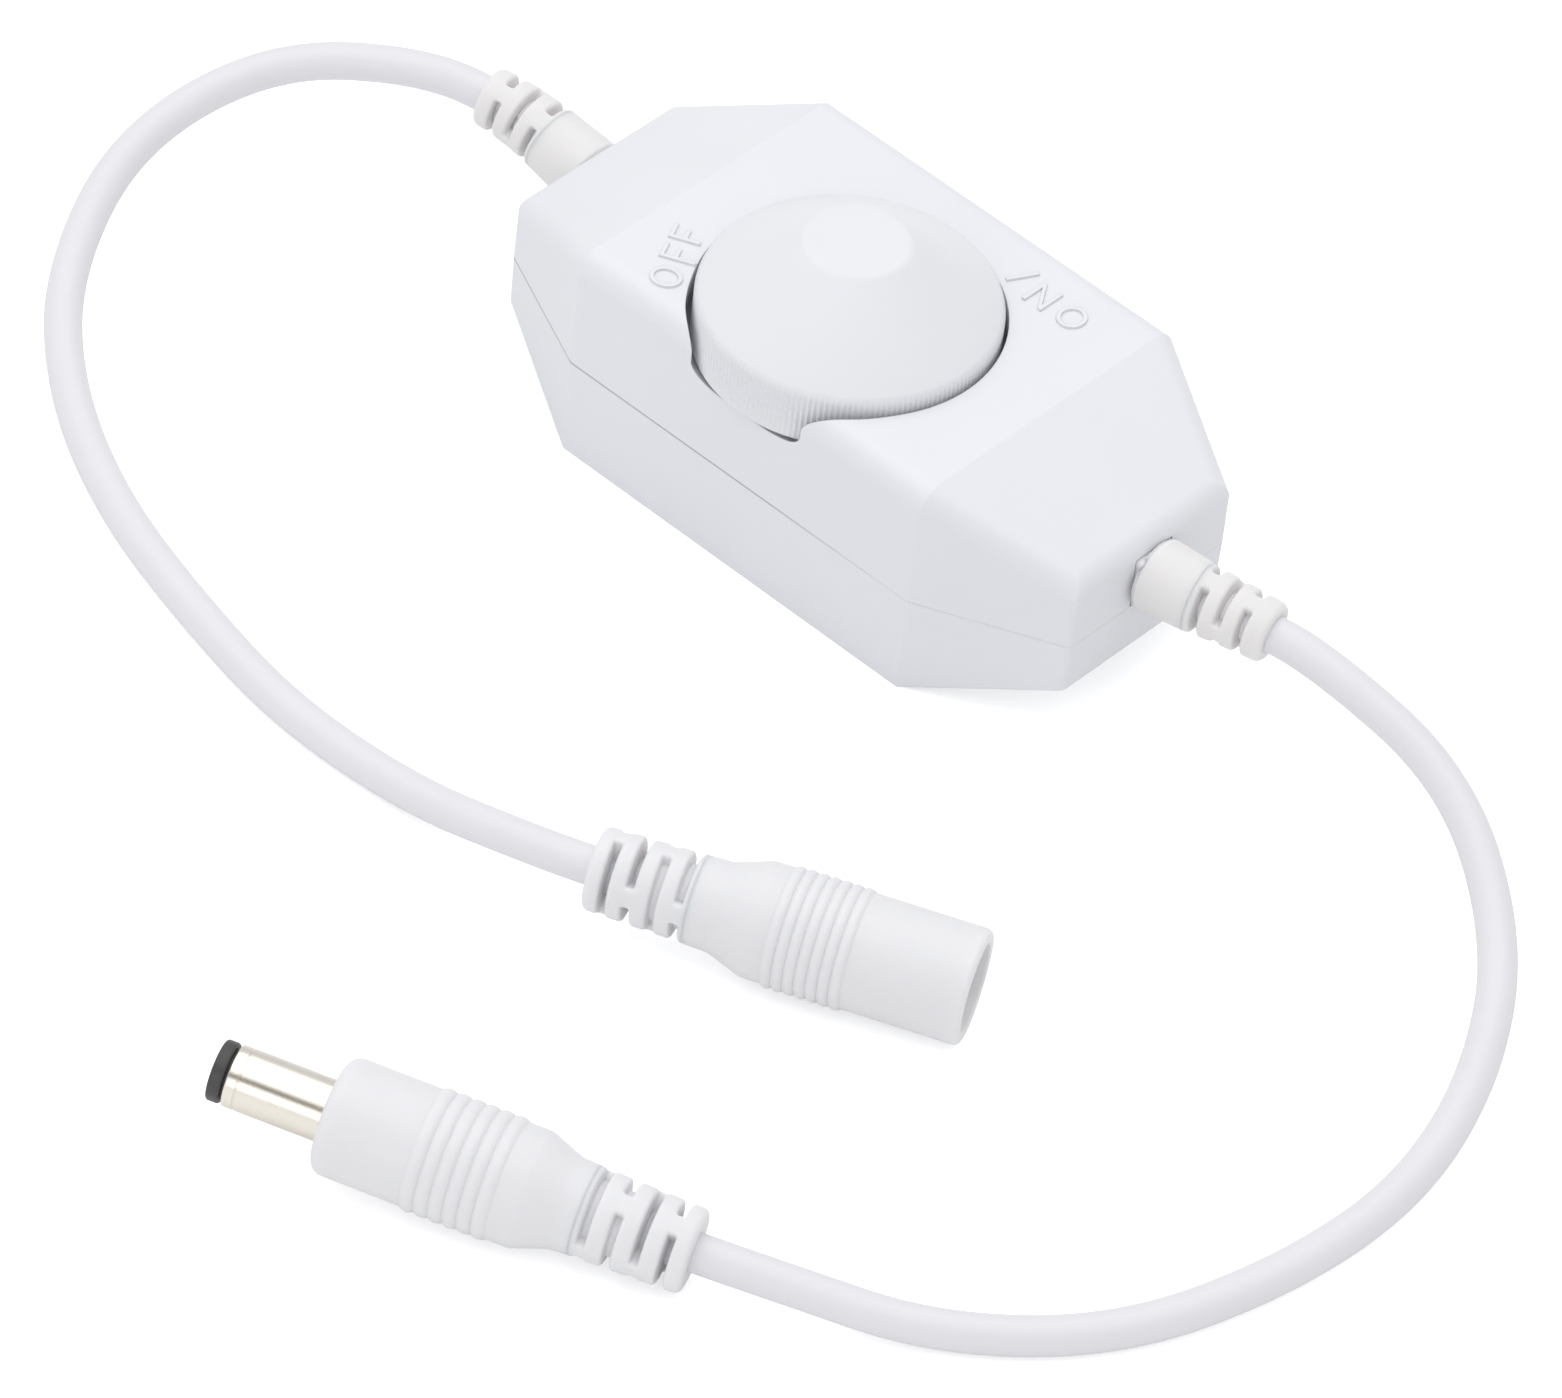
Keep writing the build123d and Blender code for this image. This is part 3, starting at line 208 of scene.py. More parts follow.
@dataclass(frozen=True)
class PaintedSeamShade:
    """Painted shade of the parting groove: a thin dark line round a piece at one height, fading towards +X.

    Args:
        height: Height of the line in millimetres.
        half: Half of its width.
        fade: Where it starts to fade and where it has gone.
        shade: Share of the colour left in it.
    """

    height: float
    half: float
    fade: tuple[float, float]
    shade: float

    def darken(
        self, nodes: bpy.types.Nodes, links: bpy.types.NodeLinks, place: bpy.types.Node,
        colour: bpy.types.NodeSocket,
    ) -> bpy.types.NodeSocket:
        """Darkens a colour along the line with painted shade.

        Args:
            nodes: The material's nodes.
            links: The material's links.
            place: The texture coordinate node.
            colour: The colour to darken.

        Returns:
            A socket that gives the darkened colour.
        """
        axes = nodes.new("ShaderNodeSeparateXYZ")
        links.new(place.outputs["Object"], axes.inputs["Vector"])
        away = add_node(nodes, "ShaderNodeMath", {1: self.height * MM})
        away.operation = "SUBTRACT"
        links.new(axes.outputs["Z"], away.inputs[0])
        apart = nodes.new("ShaderNodeMath")
        apart.operation = "ABSOLUTE"
        links.new(away.outputs["Value"], apart.inputs[0])
        line = self._fall(nodes, self.half / 2, self.half)
        links.new(apart.outputs["Value"], line.inputs["Value"])
        left = self._fall(nodes, *self.fade)
        links.new(axes.outputs["X"], left.inputs["Value"])
        share = nodes.new("ShaderNodeMath")
        share.operation = "MULTIPLY"
        links.new(line.outputs["Result"], share.inputs[0])
        links.new(left.outputs["Result"], share.inputs[1])
        mix = nodes.new("ShaderNodeMix")
        mix.data_type = "RGBA"
        mix.blend_type = "MULTIPLY"
        mix.inputs["B"].default_value = (self.shade, self.shade, self.shade, 1)
        links.new(share.outputs["Value"], mix.inputs["Factor"])
        links.new(colour, mix.inputs["A"])
        return mix.outputs["Result"]

    def _fall(self, nodes: bpy.types.Nodes, start: float, end: float) -> bpy.types.Node:
        """Node that falls from 1 to 0 between two distances.

        Args:
            nodes: The material's nodes.
            start: Distance in millimetres where it leaves 1.
            end: Distance where it reaches 0.

        Returns:
            The new node.
        """
        values = {"From Min": start * MM, "From Max": end * MM, "To Min": 1.0, "To Max": 0.0}
        return add_node(nodes, "ShaderNodeMapRange", values)


@dataclass(frozen=True)
class Finish:
    """One surface finish as a procedural material.

    Args:
        name: Material name.
        colour: Base colour, linear.
        rough: Mean roughness.
        metal: Metallic share.
        grain: Layout of the fine relief.
        relief: Height of the fine relief in millimetres.
        mottle: Share by which the colour varies.
        coat: Weight of a clear coat.
        sheen_through: Weight of light that passes through the surface.
        seam_shade: Painted shade of the groove where two mouldings meet, drawn as a dark line.
        edge: Radius in millimetres by which edges look rounded.
    """

    name: str
    colour: Point
    rough: float = 0.4
    metal: float = 0.0
    grain: Grain = Grain.MOULDED
    relief: float = 0.004
    mottle: float = 0.02
    coat: float = 0.0
    sheen_through: float = 0.0
    seam_shade: PaintedSeamShade | None = None
    edge: float = 0.12

    def material(self) -> bpy.types.Material:
        """The finish as a material, made once.

        Returns:
            The finish's own material.
        """
        title = f"look_{self.name}"
        found = bpy.data.materials.get(title)
        if found is not None:
            return found
        made = bpy.data.materials.new(title)
        made.use_nodes = True
        nodes, links = made.node_tree.nodes, made.node_tree.links
        nodes.clear()
        out = nodes.new("ShaderNodeOutputMaterial")
        shader = add_node(nodes, "ShaderNodeBsdfPrincipled", {
            "Metallic": self.metal,
            "Coat Weight": self.coat,
            "Coat Roughness": COAT_ROUGHNESS,
            "Subsurface Weight": self.sheen_through,
            "Subsurface Radius": SCATTER_RADII,
            "Subsurface Scale": 1.0,
        })
        links.new(shader.outputs["BSDF"], out.inputs["Surface"])
        place = nodes.new("ShaderNodeTexCoord")
        cloud = add_node(nodes, "ShaderNodeTexNoise", {"Scale": CLOUD_SCALE, "Detail": CLOUD_DETAIL})
        links.new(place.outputs["Object"], cloud.inputs["Vector"])
        tint = nodes.new("ShaderNodeMix")
        tint.data_type = "RGBA"
        tint.inputs["A"].default_value = (*[c * (1 - self.mottle) for c in self.colour], 1)
        tint.inputs["B"].default_value = (*[min(1.0, c * (1 + self.mottle)) for c in self.colour], 1)
        links.new(cloud.outputs["Fac"], tint.inputs["Factor"])
        colour = tint.outputs["Result"]
        # Painted shade: the colour is darkened along the parting groove.
        if self.seam_shade is not None:
            colour = self.seam_shade.darken(nodes, links, place, colour)
        links.new(colour, shader.inputs["Base Color"])
        low, high = (min(1.0, self.rough * share) for share in ROUGHNESS_SHARES)
        span = add_node(nodes, "ShaderNodeMapRange", {"To Min": low, "To Max": high})
        links.new(cloud.outputs["Fac"], span.inputs["Value"])
        links.new(span.outputs["Result"], shader.inputs["Roughness"])
        height = self._height(nodes, links, place)
        bump = add_node(
            nodes, "ShaderNodeBump", {"Strength": BUMP_STRENGTH, "Distance": self.relief * MM}
        )
        links.new(height, bump.inputs["Height"])
        if self.grain is not Grain.TURNED:
            edge = add_node(nodes, "ShaderNodeBevel", {"Radius": self.edge * MM})
            edge.samples = EDGE_SAMPLES
            links.new(edge.outputs["Normal"], bump.inputs["Normal"])
        links.new(bump.outputs["Normal"], shader.inputs["Normal"])
        return made

    def _height(
        self, nodes: bpy.types.Nodes, links: bpy.types.NodeLinks, place: bpy.types.Node
    ) -> bpy.types.NodeSocket:
        """The fine relief's height.

        Args:
            nodes: The material's nodes.
            links: The material's links.
            place: The texture coordinate node.

        Returns:
            A socket that gives the height.
        """
        values = {"Scale": GRAIN_SCALES[self.grain], "Detail": GRAIN_DETAIL}
        fine = add_node(nodes, "ShaderNodeTexNoise", values)
        if self.grain is Grain.TURNED:
            back = (0, 0, -math.radians(PLUG_HEADING))
            turn = add_node(nodes, "ShaderNodeMapping", {"Rotation": back, "Scale": TURNED_STRETCH})
            links.new(place.outputs["Object"], turn.inputs["Vector"])
            links.new(turn.outputs["Vector"], fine.inputs["Vector"])
        else:
            links.new(place.outputs["Object"], fine.inputs["Vector"])
        return fine.outputs["Fac"]


# Painted shade along the parting groove between the shells, fading towards +X.
PAINTED_SEAM_SHADE = PaintedSeamShade(height=SEAM_HEIGHT, half=0.13, fade=(4.0, 17.0), shade=0.6)
CASE = Finish("case_white", (0.772, 0.778, 0.808), rough=0.42, relief=0.003, seam_shade=PAINTED_SEAM_SHADE)
KNOB = Finish("knob_white", (0.772, 0.778, 0.805), rough=0.4, relief=0.003)
RELIEF = Finish("relief_white", (0.785, 0.768, 0.765), rough=0.5, grain=Grain.SOFT, sheen_through=0.5)
CORD = Finish("cord_white", (0.765, 0.75, 0.775), rough=0.45, grain=Grain.SOFT)
MOULDING = Finish("moulding_white", (0.782, 0.775, 0.79), rough=0.48, grain=Grain.SOFT, sheen_through=0.5)
INSERT = Finish("insert_grey", (0.76, 0.76, 0.76), rough=0.5)
NICKEL = Finish(
    "nickel", (0.85, 0.8, 0.72), rough=0.28, metal=1.0, grain=Grain.TURNED, relief=0.001, mottle=0.05
)
TIP = Finish("tip_black", (0.055, 0.052, 0.052), rough=0.42, relief=0.02, mottle=0.35)
BRASS = Finish("contact_brass", (0.72, 0.55, 0.25), rough=0.3, metal=1.0, grain=Grain.TURNED)
STEEL = Finish("plated_steel", (0.56, 0.56, 0.57), rough=0.3, metal=1.0, grain=Grain.TURNED)
ALUMINIUM = Finish("shaft_aluminium", (0.7, 0.7, 0.71), rough=0.32, metal=1.0, grain=Grain.TURNED)
TIN = Finish("tinned_lead", (0.66, 0.66, 0.67), rough=0.35, metal=1.0, grain=Grain.SMOOTH)
SOLDER = Finish("solder", (0.62, 0.62, 0.63), rough=0.25, metal=1.0, grain=Grain.SMOOTH)
WAFER = Finish("wafer_brown", (0.3, 0.17, 0.07), rough=0.6, mottle=0.12)
BOARD = Finish("board_green", (0.02, 0.16, 0.06), rough=0.35, coat=0.5, mottle=0.08)
CHIP = Finish("chip_black", (0.02, 0.02, 0.022), rough=0.55, relief=0.008)
SLEEVE = Finish("can_sleeve", (0.02, 0.02, 0.03), rough=0.25, coat=0.4)
CERAMIC = Finish("ceramic_tan", (0.42, 0.3, 0.18), rough=0.6, mottle=0.08)
WIRE = Finish("wire_red", (0.55, 0.03, 0.02), rough=0.4, grain=Grain.SOFT)

NODE_FINISHES: dict[str, Finish] = {
    "upper_shell": CASE,
    "lower_shell": CASE,
    "case_screws": STEEL,
    "knob": KNOB,
    "pot_shaft": ALUMINIUM,
    "pot_case": STEEL,
    "pot_bushing": BRASS,
    "pot_nut": STEEL,
    "pot_wafer": WAFER,
    "pot_terminals": TIN,
    "circuit_board": BOARD,
    "capacitor_can": SLEEVE,
    "capacitor_leads": TIN,
    "mosfet_body": CHIP,
    "mosfet_leads": TIN,
    "controller_chip": CHIP,
    "chip_leads": TIN,
    "chip_resistors": CHIP,
    "chip_capacitors": CERAMIC,
    "solder_joints": SOLDER,
    "output_wires": WIRE,
    "input_wires": WIRE,
    "output_strain_relief": RELIEF,
    "input_strain_relief": RELIEF,
    "output_cord": CORD,
    "input_cord": CORD,
    "plug_housing": MOULDING,
    "plug_barrel": NICKEL,
    "plug_insulator": TIP,
    "plug_inner_contact": BRASS,
    "jack_housing": MOULDING,
    "jack_insert": INSERT,
    "jack_centre_pin": NICKEL,
    "jack_spring_contact": BRASS,
}


def paint(piece: bpy.types.Object, finish: Finish) -> bpy.types.Object:
    """Gives a piece its finish in every slot.

    Args:
        piece: The object to dress.
        finish: The finish it takes.

    Returns:
        The same object.
    """
    slots = piece.data.materials
    material = finish.material()
    if len(slots) == 0:
        slots.append(material)
    for index in range(len(slots)):
        slots[index] = material
    return piece


def bspline(route: list[Vector], share: float) -> Vector:
    """Point on the open quadratic spline of a route.

    Args:
        route: Control points.
        share: Place along the spline, 0 to 1 by its parameter.

    Returns:
        The point.
    """
    spans = len(route) - 2
    place = clamp(share) * spans
    index = min(int(place), spans - 1)
    knots = [float(min(max(i - 2, 0), spans)) for i in range(len(route) + 3)]
    middles = []
    for step in (index, index + 1):
        low, high = knots[step + 1], knots[step + 3]
        middles.append(route[step].lerp(route[step + 1], (place - low) / (high - low)))
    low, high = knots[index + 2], knots[index + 3]
    return middles[0].lerp(middles[1], (place - low) / (high - low))


@dataclass
class Track:
    """Centre line sampled closely enough to be walked by distance.

    Args:
        points: Points along the line in metres.
        marks: Distance from the start at every point.
    """

    points: list[Vector]
    marks: list[float] = field(default_factory=list)

    def __post_init__(self) -> None:
        """Adds up the distance at every point."""
        self.marks = [0.0]
        for before, after in zip(self.points, self.points[1:]):
            self.marks.append(self.marks[-1] + (after - before).length)

    @property
    def length(self) -> float:
        """Length of the whole line in metres."""
        return self.marks[-1]

    def at(self, distance: float) -> tuple[Vector, Vector]:
        """Point and direction at a distance along the line.

        Args:
            distance: Distance from the start in metres; past an end the line runs on straight.

        Returns:
            The point and the unit direction.
        """
        index = 0
        while index < len(self.marks) - 2 and self.marks[index + 1] < distance:
            index += 1
        start, end = self.points[index], self.points[index + 1]
        along = (end - start).normalized()
        return start + along * (distance - self.marks[index]), along

    def frame(self, distance: float) -> Matrix:
        """Frame square to the line with its X axis level.

        Args:
            distance: Distance from the start in metres.

        Returns:
            Matrix whose Z axis runs along the line.
        """
        point, along = self.at(distance)
        level = Vector((-along.y, along.x, 0.0)).normalized()
        up = along.cross(level)
        turn = Matrix((level, up, along)).transposed().to_4x4()
        return Matrix.Translation(point) @ turn


@dataclass
class MeshMaker:
    """Collects closed shells into one mesh object.

    Args:
        name: Name of the object to make.
        mesh: The mesh as it grows.
    """

    name: str
    mesh: bmesh.types.BMesh = field(default_factory=bmesh.new)

    def skin(self, rings: list[list[Vector]], closed: bool = False) -> None:
        """Joins rings of equal size with quads.

        Args:
            rings: Rings of points in metres, in order.
            closed: Whether the last ring joins the first; else both ends are capped.
        """
        loops = [[self.mesh.verts.new(point) for point in ring] for ring in rings]
        count = len(loops[0])
        pairs = list(zip(loops, loops[1:]))
        if closed:
            pairs.append((loops[-1], loops[0]))
        for low, high in pairs:
            for index in range(count):
                after = (index + 1) % count
                self.mesh.faces.new((low[index], low[after], high[after], high[index]))
        if not closed:
            self.mesh.faces.new(tuple(reversed(loops[0])))
            self.mesh.faces.new(tuple(loops[-1]))

    def lathe(self, profile: Profile, track: Track, segments: int) -> None:
        """Round tube along a track, whose profile joins its own start.

        Args:
            profile: Radius and distance along the track, in millimetres.
            track: Centre line.
            segments: Points round each ring.
        """
        rings = []
        for radius, station in profile:
            frame = track.frame(station * MM)
            ring = []
            for index in range(segments):
                angle = 2 * math.pi * index / segments
                ring.append(frame @ (Vector((math.cos(angle), math.sin(angle), 0)) * (radius * MM)))
            rings.append(ring)
        self.skin(rings, closed=True)

    def bar(self, corners: list[Vector], soft: float) -> None:
        """Box from its eight corners with softened edges.

        Args:
            corners: Four corners of one end, then the four of the other, in metres.
            soft: Edge radius in millimetres.
        """
        spots = [self.mesh.verts.new(point) for point in corners]
        sides = [(0, 1, 2, 3), (7, 6, 5, 4), (0, 4, 5, 1), (1, 5, 6, 2), (2, 6, 7, 3), (3, 7, 4, 0)]
        faces = [self.mesh.faces.new([spots[i] for i in side]) for side in sides]
        edges = list({edge for face in faces for edge in face.edges})
        bmesh.ops.bevel(self.mesh, geom=edges, offset=soft * MM, segments=3, profile=0.5, affect="EDGES")

    def finish(self, finish: Finish, smooth_angle: float = 35.0) -> bpy.types.Object:
        """Makes the object and links it to the scene.

        Args:
            finish: Its surface finish.
            smooth_angle: Angle in degrees under which faces shade as one.

        Returns:
            The new object.
        """
        bmesh.ops.recalc_face_normals(self.mesh, faces=self.mesh.faces)
        data = bpy.data.meshes.new(self.name)
        self.mesh.to_mesh(data)
        self.mesh.free()
        for polygon in data.polygons:
            polygon.use_smooth = True
        data.set_sharp_from_angle(angle=math.radians(smooth_angle))
        return paint(link_object(self.name, data), finish)


def fillet(profile: Profile, radii: dict[int, float], steps: int = 6) -> Profile:
    """Rounds chosen corners of a profile.

    Args:
        profile: Corners in order.
        radii: Radius at a corner's index.
        steps: Segments of each rounding.

    Returns:
        The profile with its roundings.
    """
    made: Profile = []
    for index, corner in enumerate(profile):
        radius = radii.get(index, 0.0)
        if radius <= 0 or index in (0, len(profile) - 1):
            made.append(corner)
            continue
        here = Vector(corner)
        before = (Vector(profile[index - 1]) - here).normalized()
        after = (Vector(profile[index + 1]) - here).normalized()
        half = before.angle(after) / 2
        centre = here + (before + after).normalized() * (radius / math.sin(half))
        start = here + before * (radius / math.tan(half)) - centre
        end = here + after * (radius / math.tan(half)) - centre
        for step in range(steps + 1):
            arm = start.normalized().slerp(end.normalized(), step / steps)
            made.append(tuple(centre + arm * radius))
    return made


@dataclass
class Studio:
    """Camera, floor and light.

    Args:
        position: Camera position in millimetres.
        azimuth: Camera azimuth from the front, in degrees.
        elevation: Camera elevation in degrees.
        roll: Roll in degrees.
        lens: Focal length in millimetres.
        sensor: Width of the sensor in millimetres.
        reach: Half of the floor's side in metres.
        glow: Light that the floor adds for the camera alone.
        even: Strength of the light from all round.
    """

    position: Point = (385.46, -492.89, 580.82)
    azimuth: float = 38.40591868
    elevation: float = 44.23260159
    roll: float = 6.94328307
    lens: float = 217.4063
    sensor: float = 36.0
    reach: float = 3.0
    glow: float = 0.45
    even: float = 0.72

    def camera(self) -> bpy.types.Object:
        """Places the camera.

        Returns:
            The camera object.
        """
        a, e, r = (math.radians(v) for v in (self.azimuth, self.elevation, self.roll))
        back = Vector((math.sin(a) * math.cos(e), -math.cos(a) * math.cos(e), math.sin(e)))
        right = Vector((math.cos(a), math.sin(a), 0))
        up = back.cross(right)
        right, up = right * math.cos(r) + up * math.sin(r), up * math.cos(r) - right * math.sin(r)
        data = bpy.data.cameras.new("camera")
        data.sensor_width = self.sensor
        data.lens = self.lens
        data.clip_start, data.clip_end = 0.05, 10.0
        camera = link_object("camera", data)
        turn = Matrix((right, up, back)).transposed().to_4x4()
        camera.matrix_world = Matrix.Translation(Vector(self.position) * MM) @ turn
        bpy.context.scene.camera = camera
        return camera

    def floor(self) -> bpy.types.Object:
        """Lays the pale floor.

        Returns:
            The floor object.
        """
        maker = MeshMaker("floor")
        corners = [Vector((x, y, 0.0)) * self.reach for x, y in ((-1, -1), (1, -1), (1, 1), (-1, 1))]
        maker.mesh.faces.new([maker.mesh.verts.new(corner) for corner in corners])
        floor = maker.finish(Finish("floor_white", (0.93, 0.93, 0.93), rough=0.9, mottle=0.0, relief=0.0))
        nodes, links, shader, out = self._ends(floor)
        shader.inputs["Specular IOR Level"].default_value = 0.0
        glow = add_node(nodes, "ShaderNodeEmission", {"Color": (1, 1, 1, 1)})
        ray = nodes.new("ShaderNodeLightPath")
        dim = add_node(nodes, "ShaderNodeMath", {1: self.glow})
        dim.operation = "MULTIPLY"
        links.new(ray.outputs["Is Camera Ray"], dim.inputs[0])
        links.new(dim.outputs["Value"], glow.inputs["Strength"])
        both = nodes.new("ShaderNodeAddShader")
        links.new(shader.outputs["BSDF"], both.inputs[0])
        links.new(glow.outputs["Emission"], both.inputs[1])
        links.new(both.outputs["Shader"], out.inputs["Surface"])
        return floor

    def _ends(
        self, piece: bpy.types.Object
    ) -> tuple[bpy.types.Nodes, bpy.types.NodeLinks, bpy.types.Node, bpy.types.Node]:
        """Opens a dressed piece's material.

        Args:
            piece: The dressed object.

        Returns:
            The material's nodes and links, its shader and its output.
        """
        tree = piece.active_material.node_tree
        shader = next(node for node in tree.nodes if node.type == "BSDF_PRINCIPLED")
        out = next(node for node in tree.nodes if node.type == "OUTPUT_MATERIAL")
        return tree.nodes, tree.links, shader, out

    def world(self) -> None:
        """Lights the scene from all round and shows white behind it."""
        world = bpy.data.worlds.new("world")
        bpy.context.scene.world = world
        world.use_nodes = True
        nodes, links = world.node_tree.nodes, world.node_tree.links
        nodes.clear()
        out = nodes.new("ShaderNodeOutputWorld")
        values = {"Color": (0.97, 0.985, 1.0, 1), "Strength": self.even}
        even = add_node(nodes, "ShaderNodeBackground", values)
        seen = add_node(nodes, "ShaderNodeBackground", {"Color": (1, 1, 1, 1), "Strength": 1.0})
        links.new(mix_by_ray(nodes, links, "Is Camera Ray", even, seen), out.inputs["Surface"])

    def lamp(self, name: str, spot: Point, aim: Point, size: float, watts: float) -> bpy.types.Object:
        """Hangs one soft square lamp.

        Args:
            name: Name of the lamp.
            spot: Its place in metres.
            aim: The point it faces, in metres.
            size: Its side in metres.
            watts: Its power.

        Returns:
            The lamp object.
        """
        data = bpy.data.lights.new(name, "AREA")
        data.size = size
        data.energy = watts
        lamp = link_object(name, data)
        away = Vector(spot) - Vector(aim)
        turn = away.to_track_quat("Z", "Y").to_matrix().to_4x4()
        lamp.matrix_world = Matrix.Translation(spot) @ turn
        return lamp

    def card(self, middle: Point, along: Point, size: tuple[float, float]) -> bpy.types.Object:
        """Hangs a dark card that only reflections show, as a streak along bright metal.

        Args:
            middle: Its middle in metres.
            along: Direction of its long side.
            size: Length and width in metres.

        Returns:
            The card object.
        """
        maker = MeshMaker("dark_card")
        long_side = Vector(along).normalized() * (size[0] / 2)
        short_side = Vector(along).cross(Vector(middle)).normalized() * (size[1] / 2)
        spots = []
        for u, v in ((-1, -1), (1, -1), (1, 1), (-1, 1)):
            spots.append(maker.mesh.verts.new(Vector(middle) + long_side * u + short_side * v))
        maker.mesh.faces.new(spots)
        card = maker.finish(Finish("card_brown", (0.07, 0.045, 0.025), rough=0.9))
        nodes, links, shader, out = self._ends(card)
        clear = nodes.new("ShaderNodeBsdfTransparent")
        links.new(mix_by_ray(nodes, links, "Is Glossy Ray", clear, shader), out.inputs["Surface"])
        return card

    def build(self) -> None:
        """Sets the whole studio."""
        scene = bpy.context.scene
        scene.view_settings.view_transform = "Standard"
        self.floor()
        self.world()
        self.lamp("key", (-0.22, 0.08, 1.25), (0.0, -0.03, 0.0), 1.9, 10.5)
        self.lamp("low", (0.3, -1.15, 0.45), (0.02, -0.1, 0.0), 0.6, 1.25)
        self.card((0.28, -0.85, 0.83), (0.911, 0.403, -0.084), (1.2, 0.38))


TRACK_STEPS = 600


@dataclass
class Cord:
    """One free cord from its strain relief to its connector.

    Args:
        name: Name of the visual piece.
        node: CAD node it stands for.
        route: Control points in millimetres.
        tail: Last two control points, inside the connector's tail, in millimetres.
        far_end: What hangs on the cord; not used.
    """

    name: str
    node: str
    route: tuple[Point, ...]
    tail: tuple[Point, Point]
    far_end: str

    def points(self) -> list[Vector]:
        """Control points in metres."""
        return [Vector(point) * MM for point in self.route + self.tail]

    def track(self) -> Track:
        """Centre line of the cord as it is drawn.

        Returns:
            The walked centre line.
        """
        points = self.points()
        return Track([bspline(points, step / TRACK_STEPS) for step in range(TRACK_STEPS + 1)])

    def build(self) -> bpy.types.Object:
        """Draws the cord as one open spline of round section.

        Returns:
            The curve object.
        """
        points = self.points()
        curve = bpy.data.curves.new(self.name, "CURVE")
        curve.dimensions = "3D"
        curve.bevel_depth = CORD_RADIUS * MM
        curve.bevel_resolution = 10
        curve.use_fill_caps = True
        spline = curve.splines.new("NURBS")
        spline.points.add(len(points) - 1)
        for spot, point in zip(spline.points, points):
            spot.co = (*point, 1.0)
        spline.order_u = 3
        spline.use_endpoint_u = True
        spline.resolution_u = 24
        piece = link_object(self.name, curve)
        paint(piece, CORD)
        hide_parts(self.node)
        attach(piece, "casing")
        return piece

    def declare(self) -> None:
        """Logs the cord's length.
        """
        length = self.track().length
        LOG.info("%s: %.1f mm long", self.name, length / MM)


@dataclass
class Knob:
    """Serrated cone knob.

    Args:
        radius: Skirt radius.
        low: Height of the skirt's foot.
        shoulder: Height where skirt and cone would meet.
        top: Height of the disc.
        disc: Radius where cone and disc would meet.
        teeth: Number of serrations.
        depth: Depth of a serration.
        wall: Thickness of the skirt.
        hollow: Depth of the hollow underside.
        run_out: Distance over which the serrations end towards the cone.
        plain_foot: Height of the foot without serrations.
        foot_rise: Height over which they then reach their depth.
    """

    radius: float = 13.87
    low: float = 19.0
    shoulder: float = 24.45
    top: float = 31.3
    disc: float = 4.85
    teeth: int = 174
    depth: float = 0.13
    wall: float = 1.5
    hollow: float = 3.0
    run_out: float = 0.45
    plain_foot: float = 0.15
    foot_rise: float = 0.25

    def profile(self) -> Profile:
        """Half section in radius and height.

        Returns:
            The rounded profile from the hollow underside to the disc.
        """
        inside = self.radius - self.wall
        corners = [
            (0.01, self.low + self.hollow),
            (inside, self.low + self.hollow),
            (inside, self.low),
            (self.radius, self.low),
            (self.radius, self.low + 1.0),
            (self.radius, self.low + 2.0),
            (self.radius, self.low + 3.0),
            (self.radius, self.shoulder - 0.8),
            (self.radius, self.shoulder),
            (self.disc, self.top),
            (2.5, self.top),
            (0.01, self.top),
        ]
        return fillet(corners, {2: 0.2, 3: 0.3, 8: 1.2, 9: 1.2}, 8)

    def build(self) -> bpy.types.Object:
        """Makes the knob with its serrated skirt.

        Returns:
            The knob object.
        """
        maker = MeshMaker("knob_serrated")
        waves = (0.0, 0.5, 1.0, 0.5)
        count = self.teeth * len(waves)
        rings = []
        centre = Vector((*KNOB_CENTRE, 0.0)) * MM
        for radius, height in self.profile():
            grip = clamp((radius - self.radius + self.run_out) / self.run_out)
            grip *= clamp((height - self.low - self.plain_foot) / self.foot_rise)
            ring = []
            for index in range(count):
                angle = 2 * math.pi * index / count
                reach = radius - self.depth * grip * waves[index % len(waves)]
                spot = Vector((reach * math.cos(angle), reach * math.sin(angle), height))
                ring.append(centre + spot * MM)
            rings.append(ring)
        maker.skin(rings)
        piece = maker.finish(KNOB, 50.0)
        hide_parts("knob")
        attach(piece, "knob_shaft")
        return piece


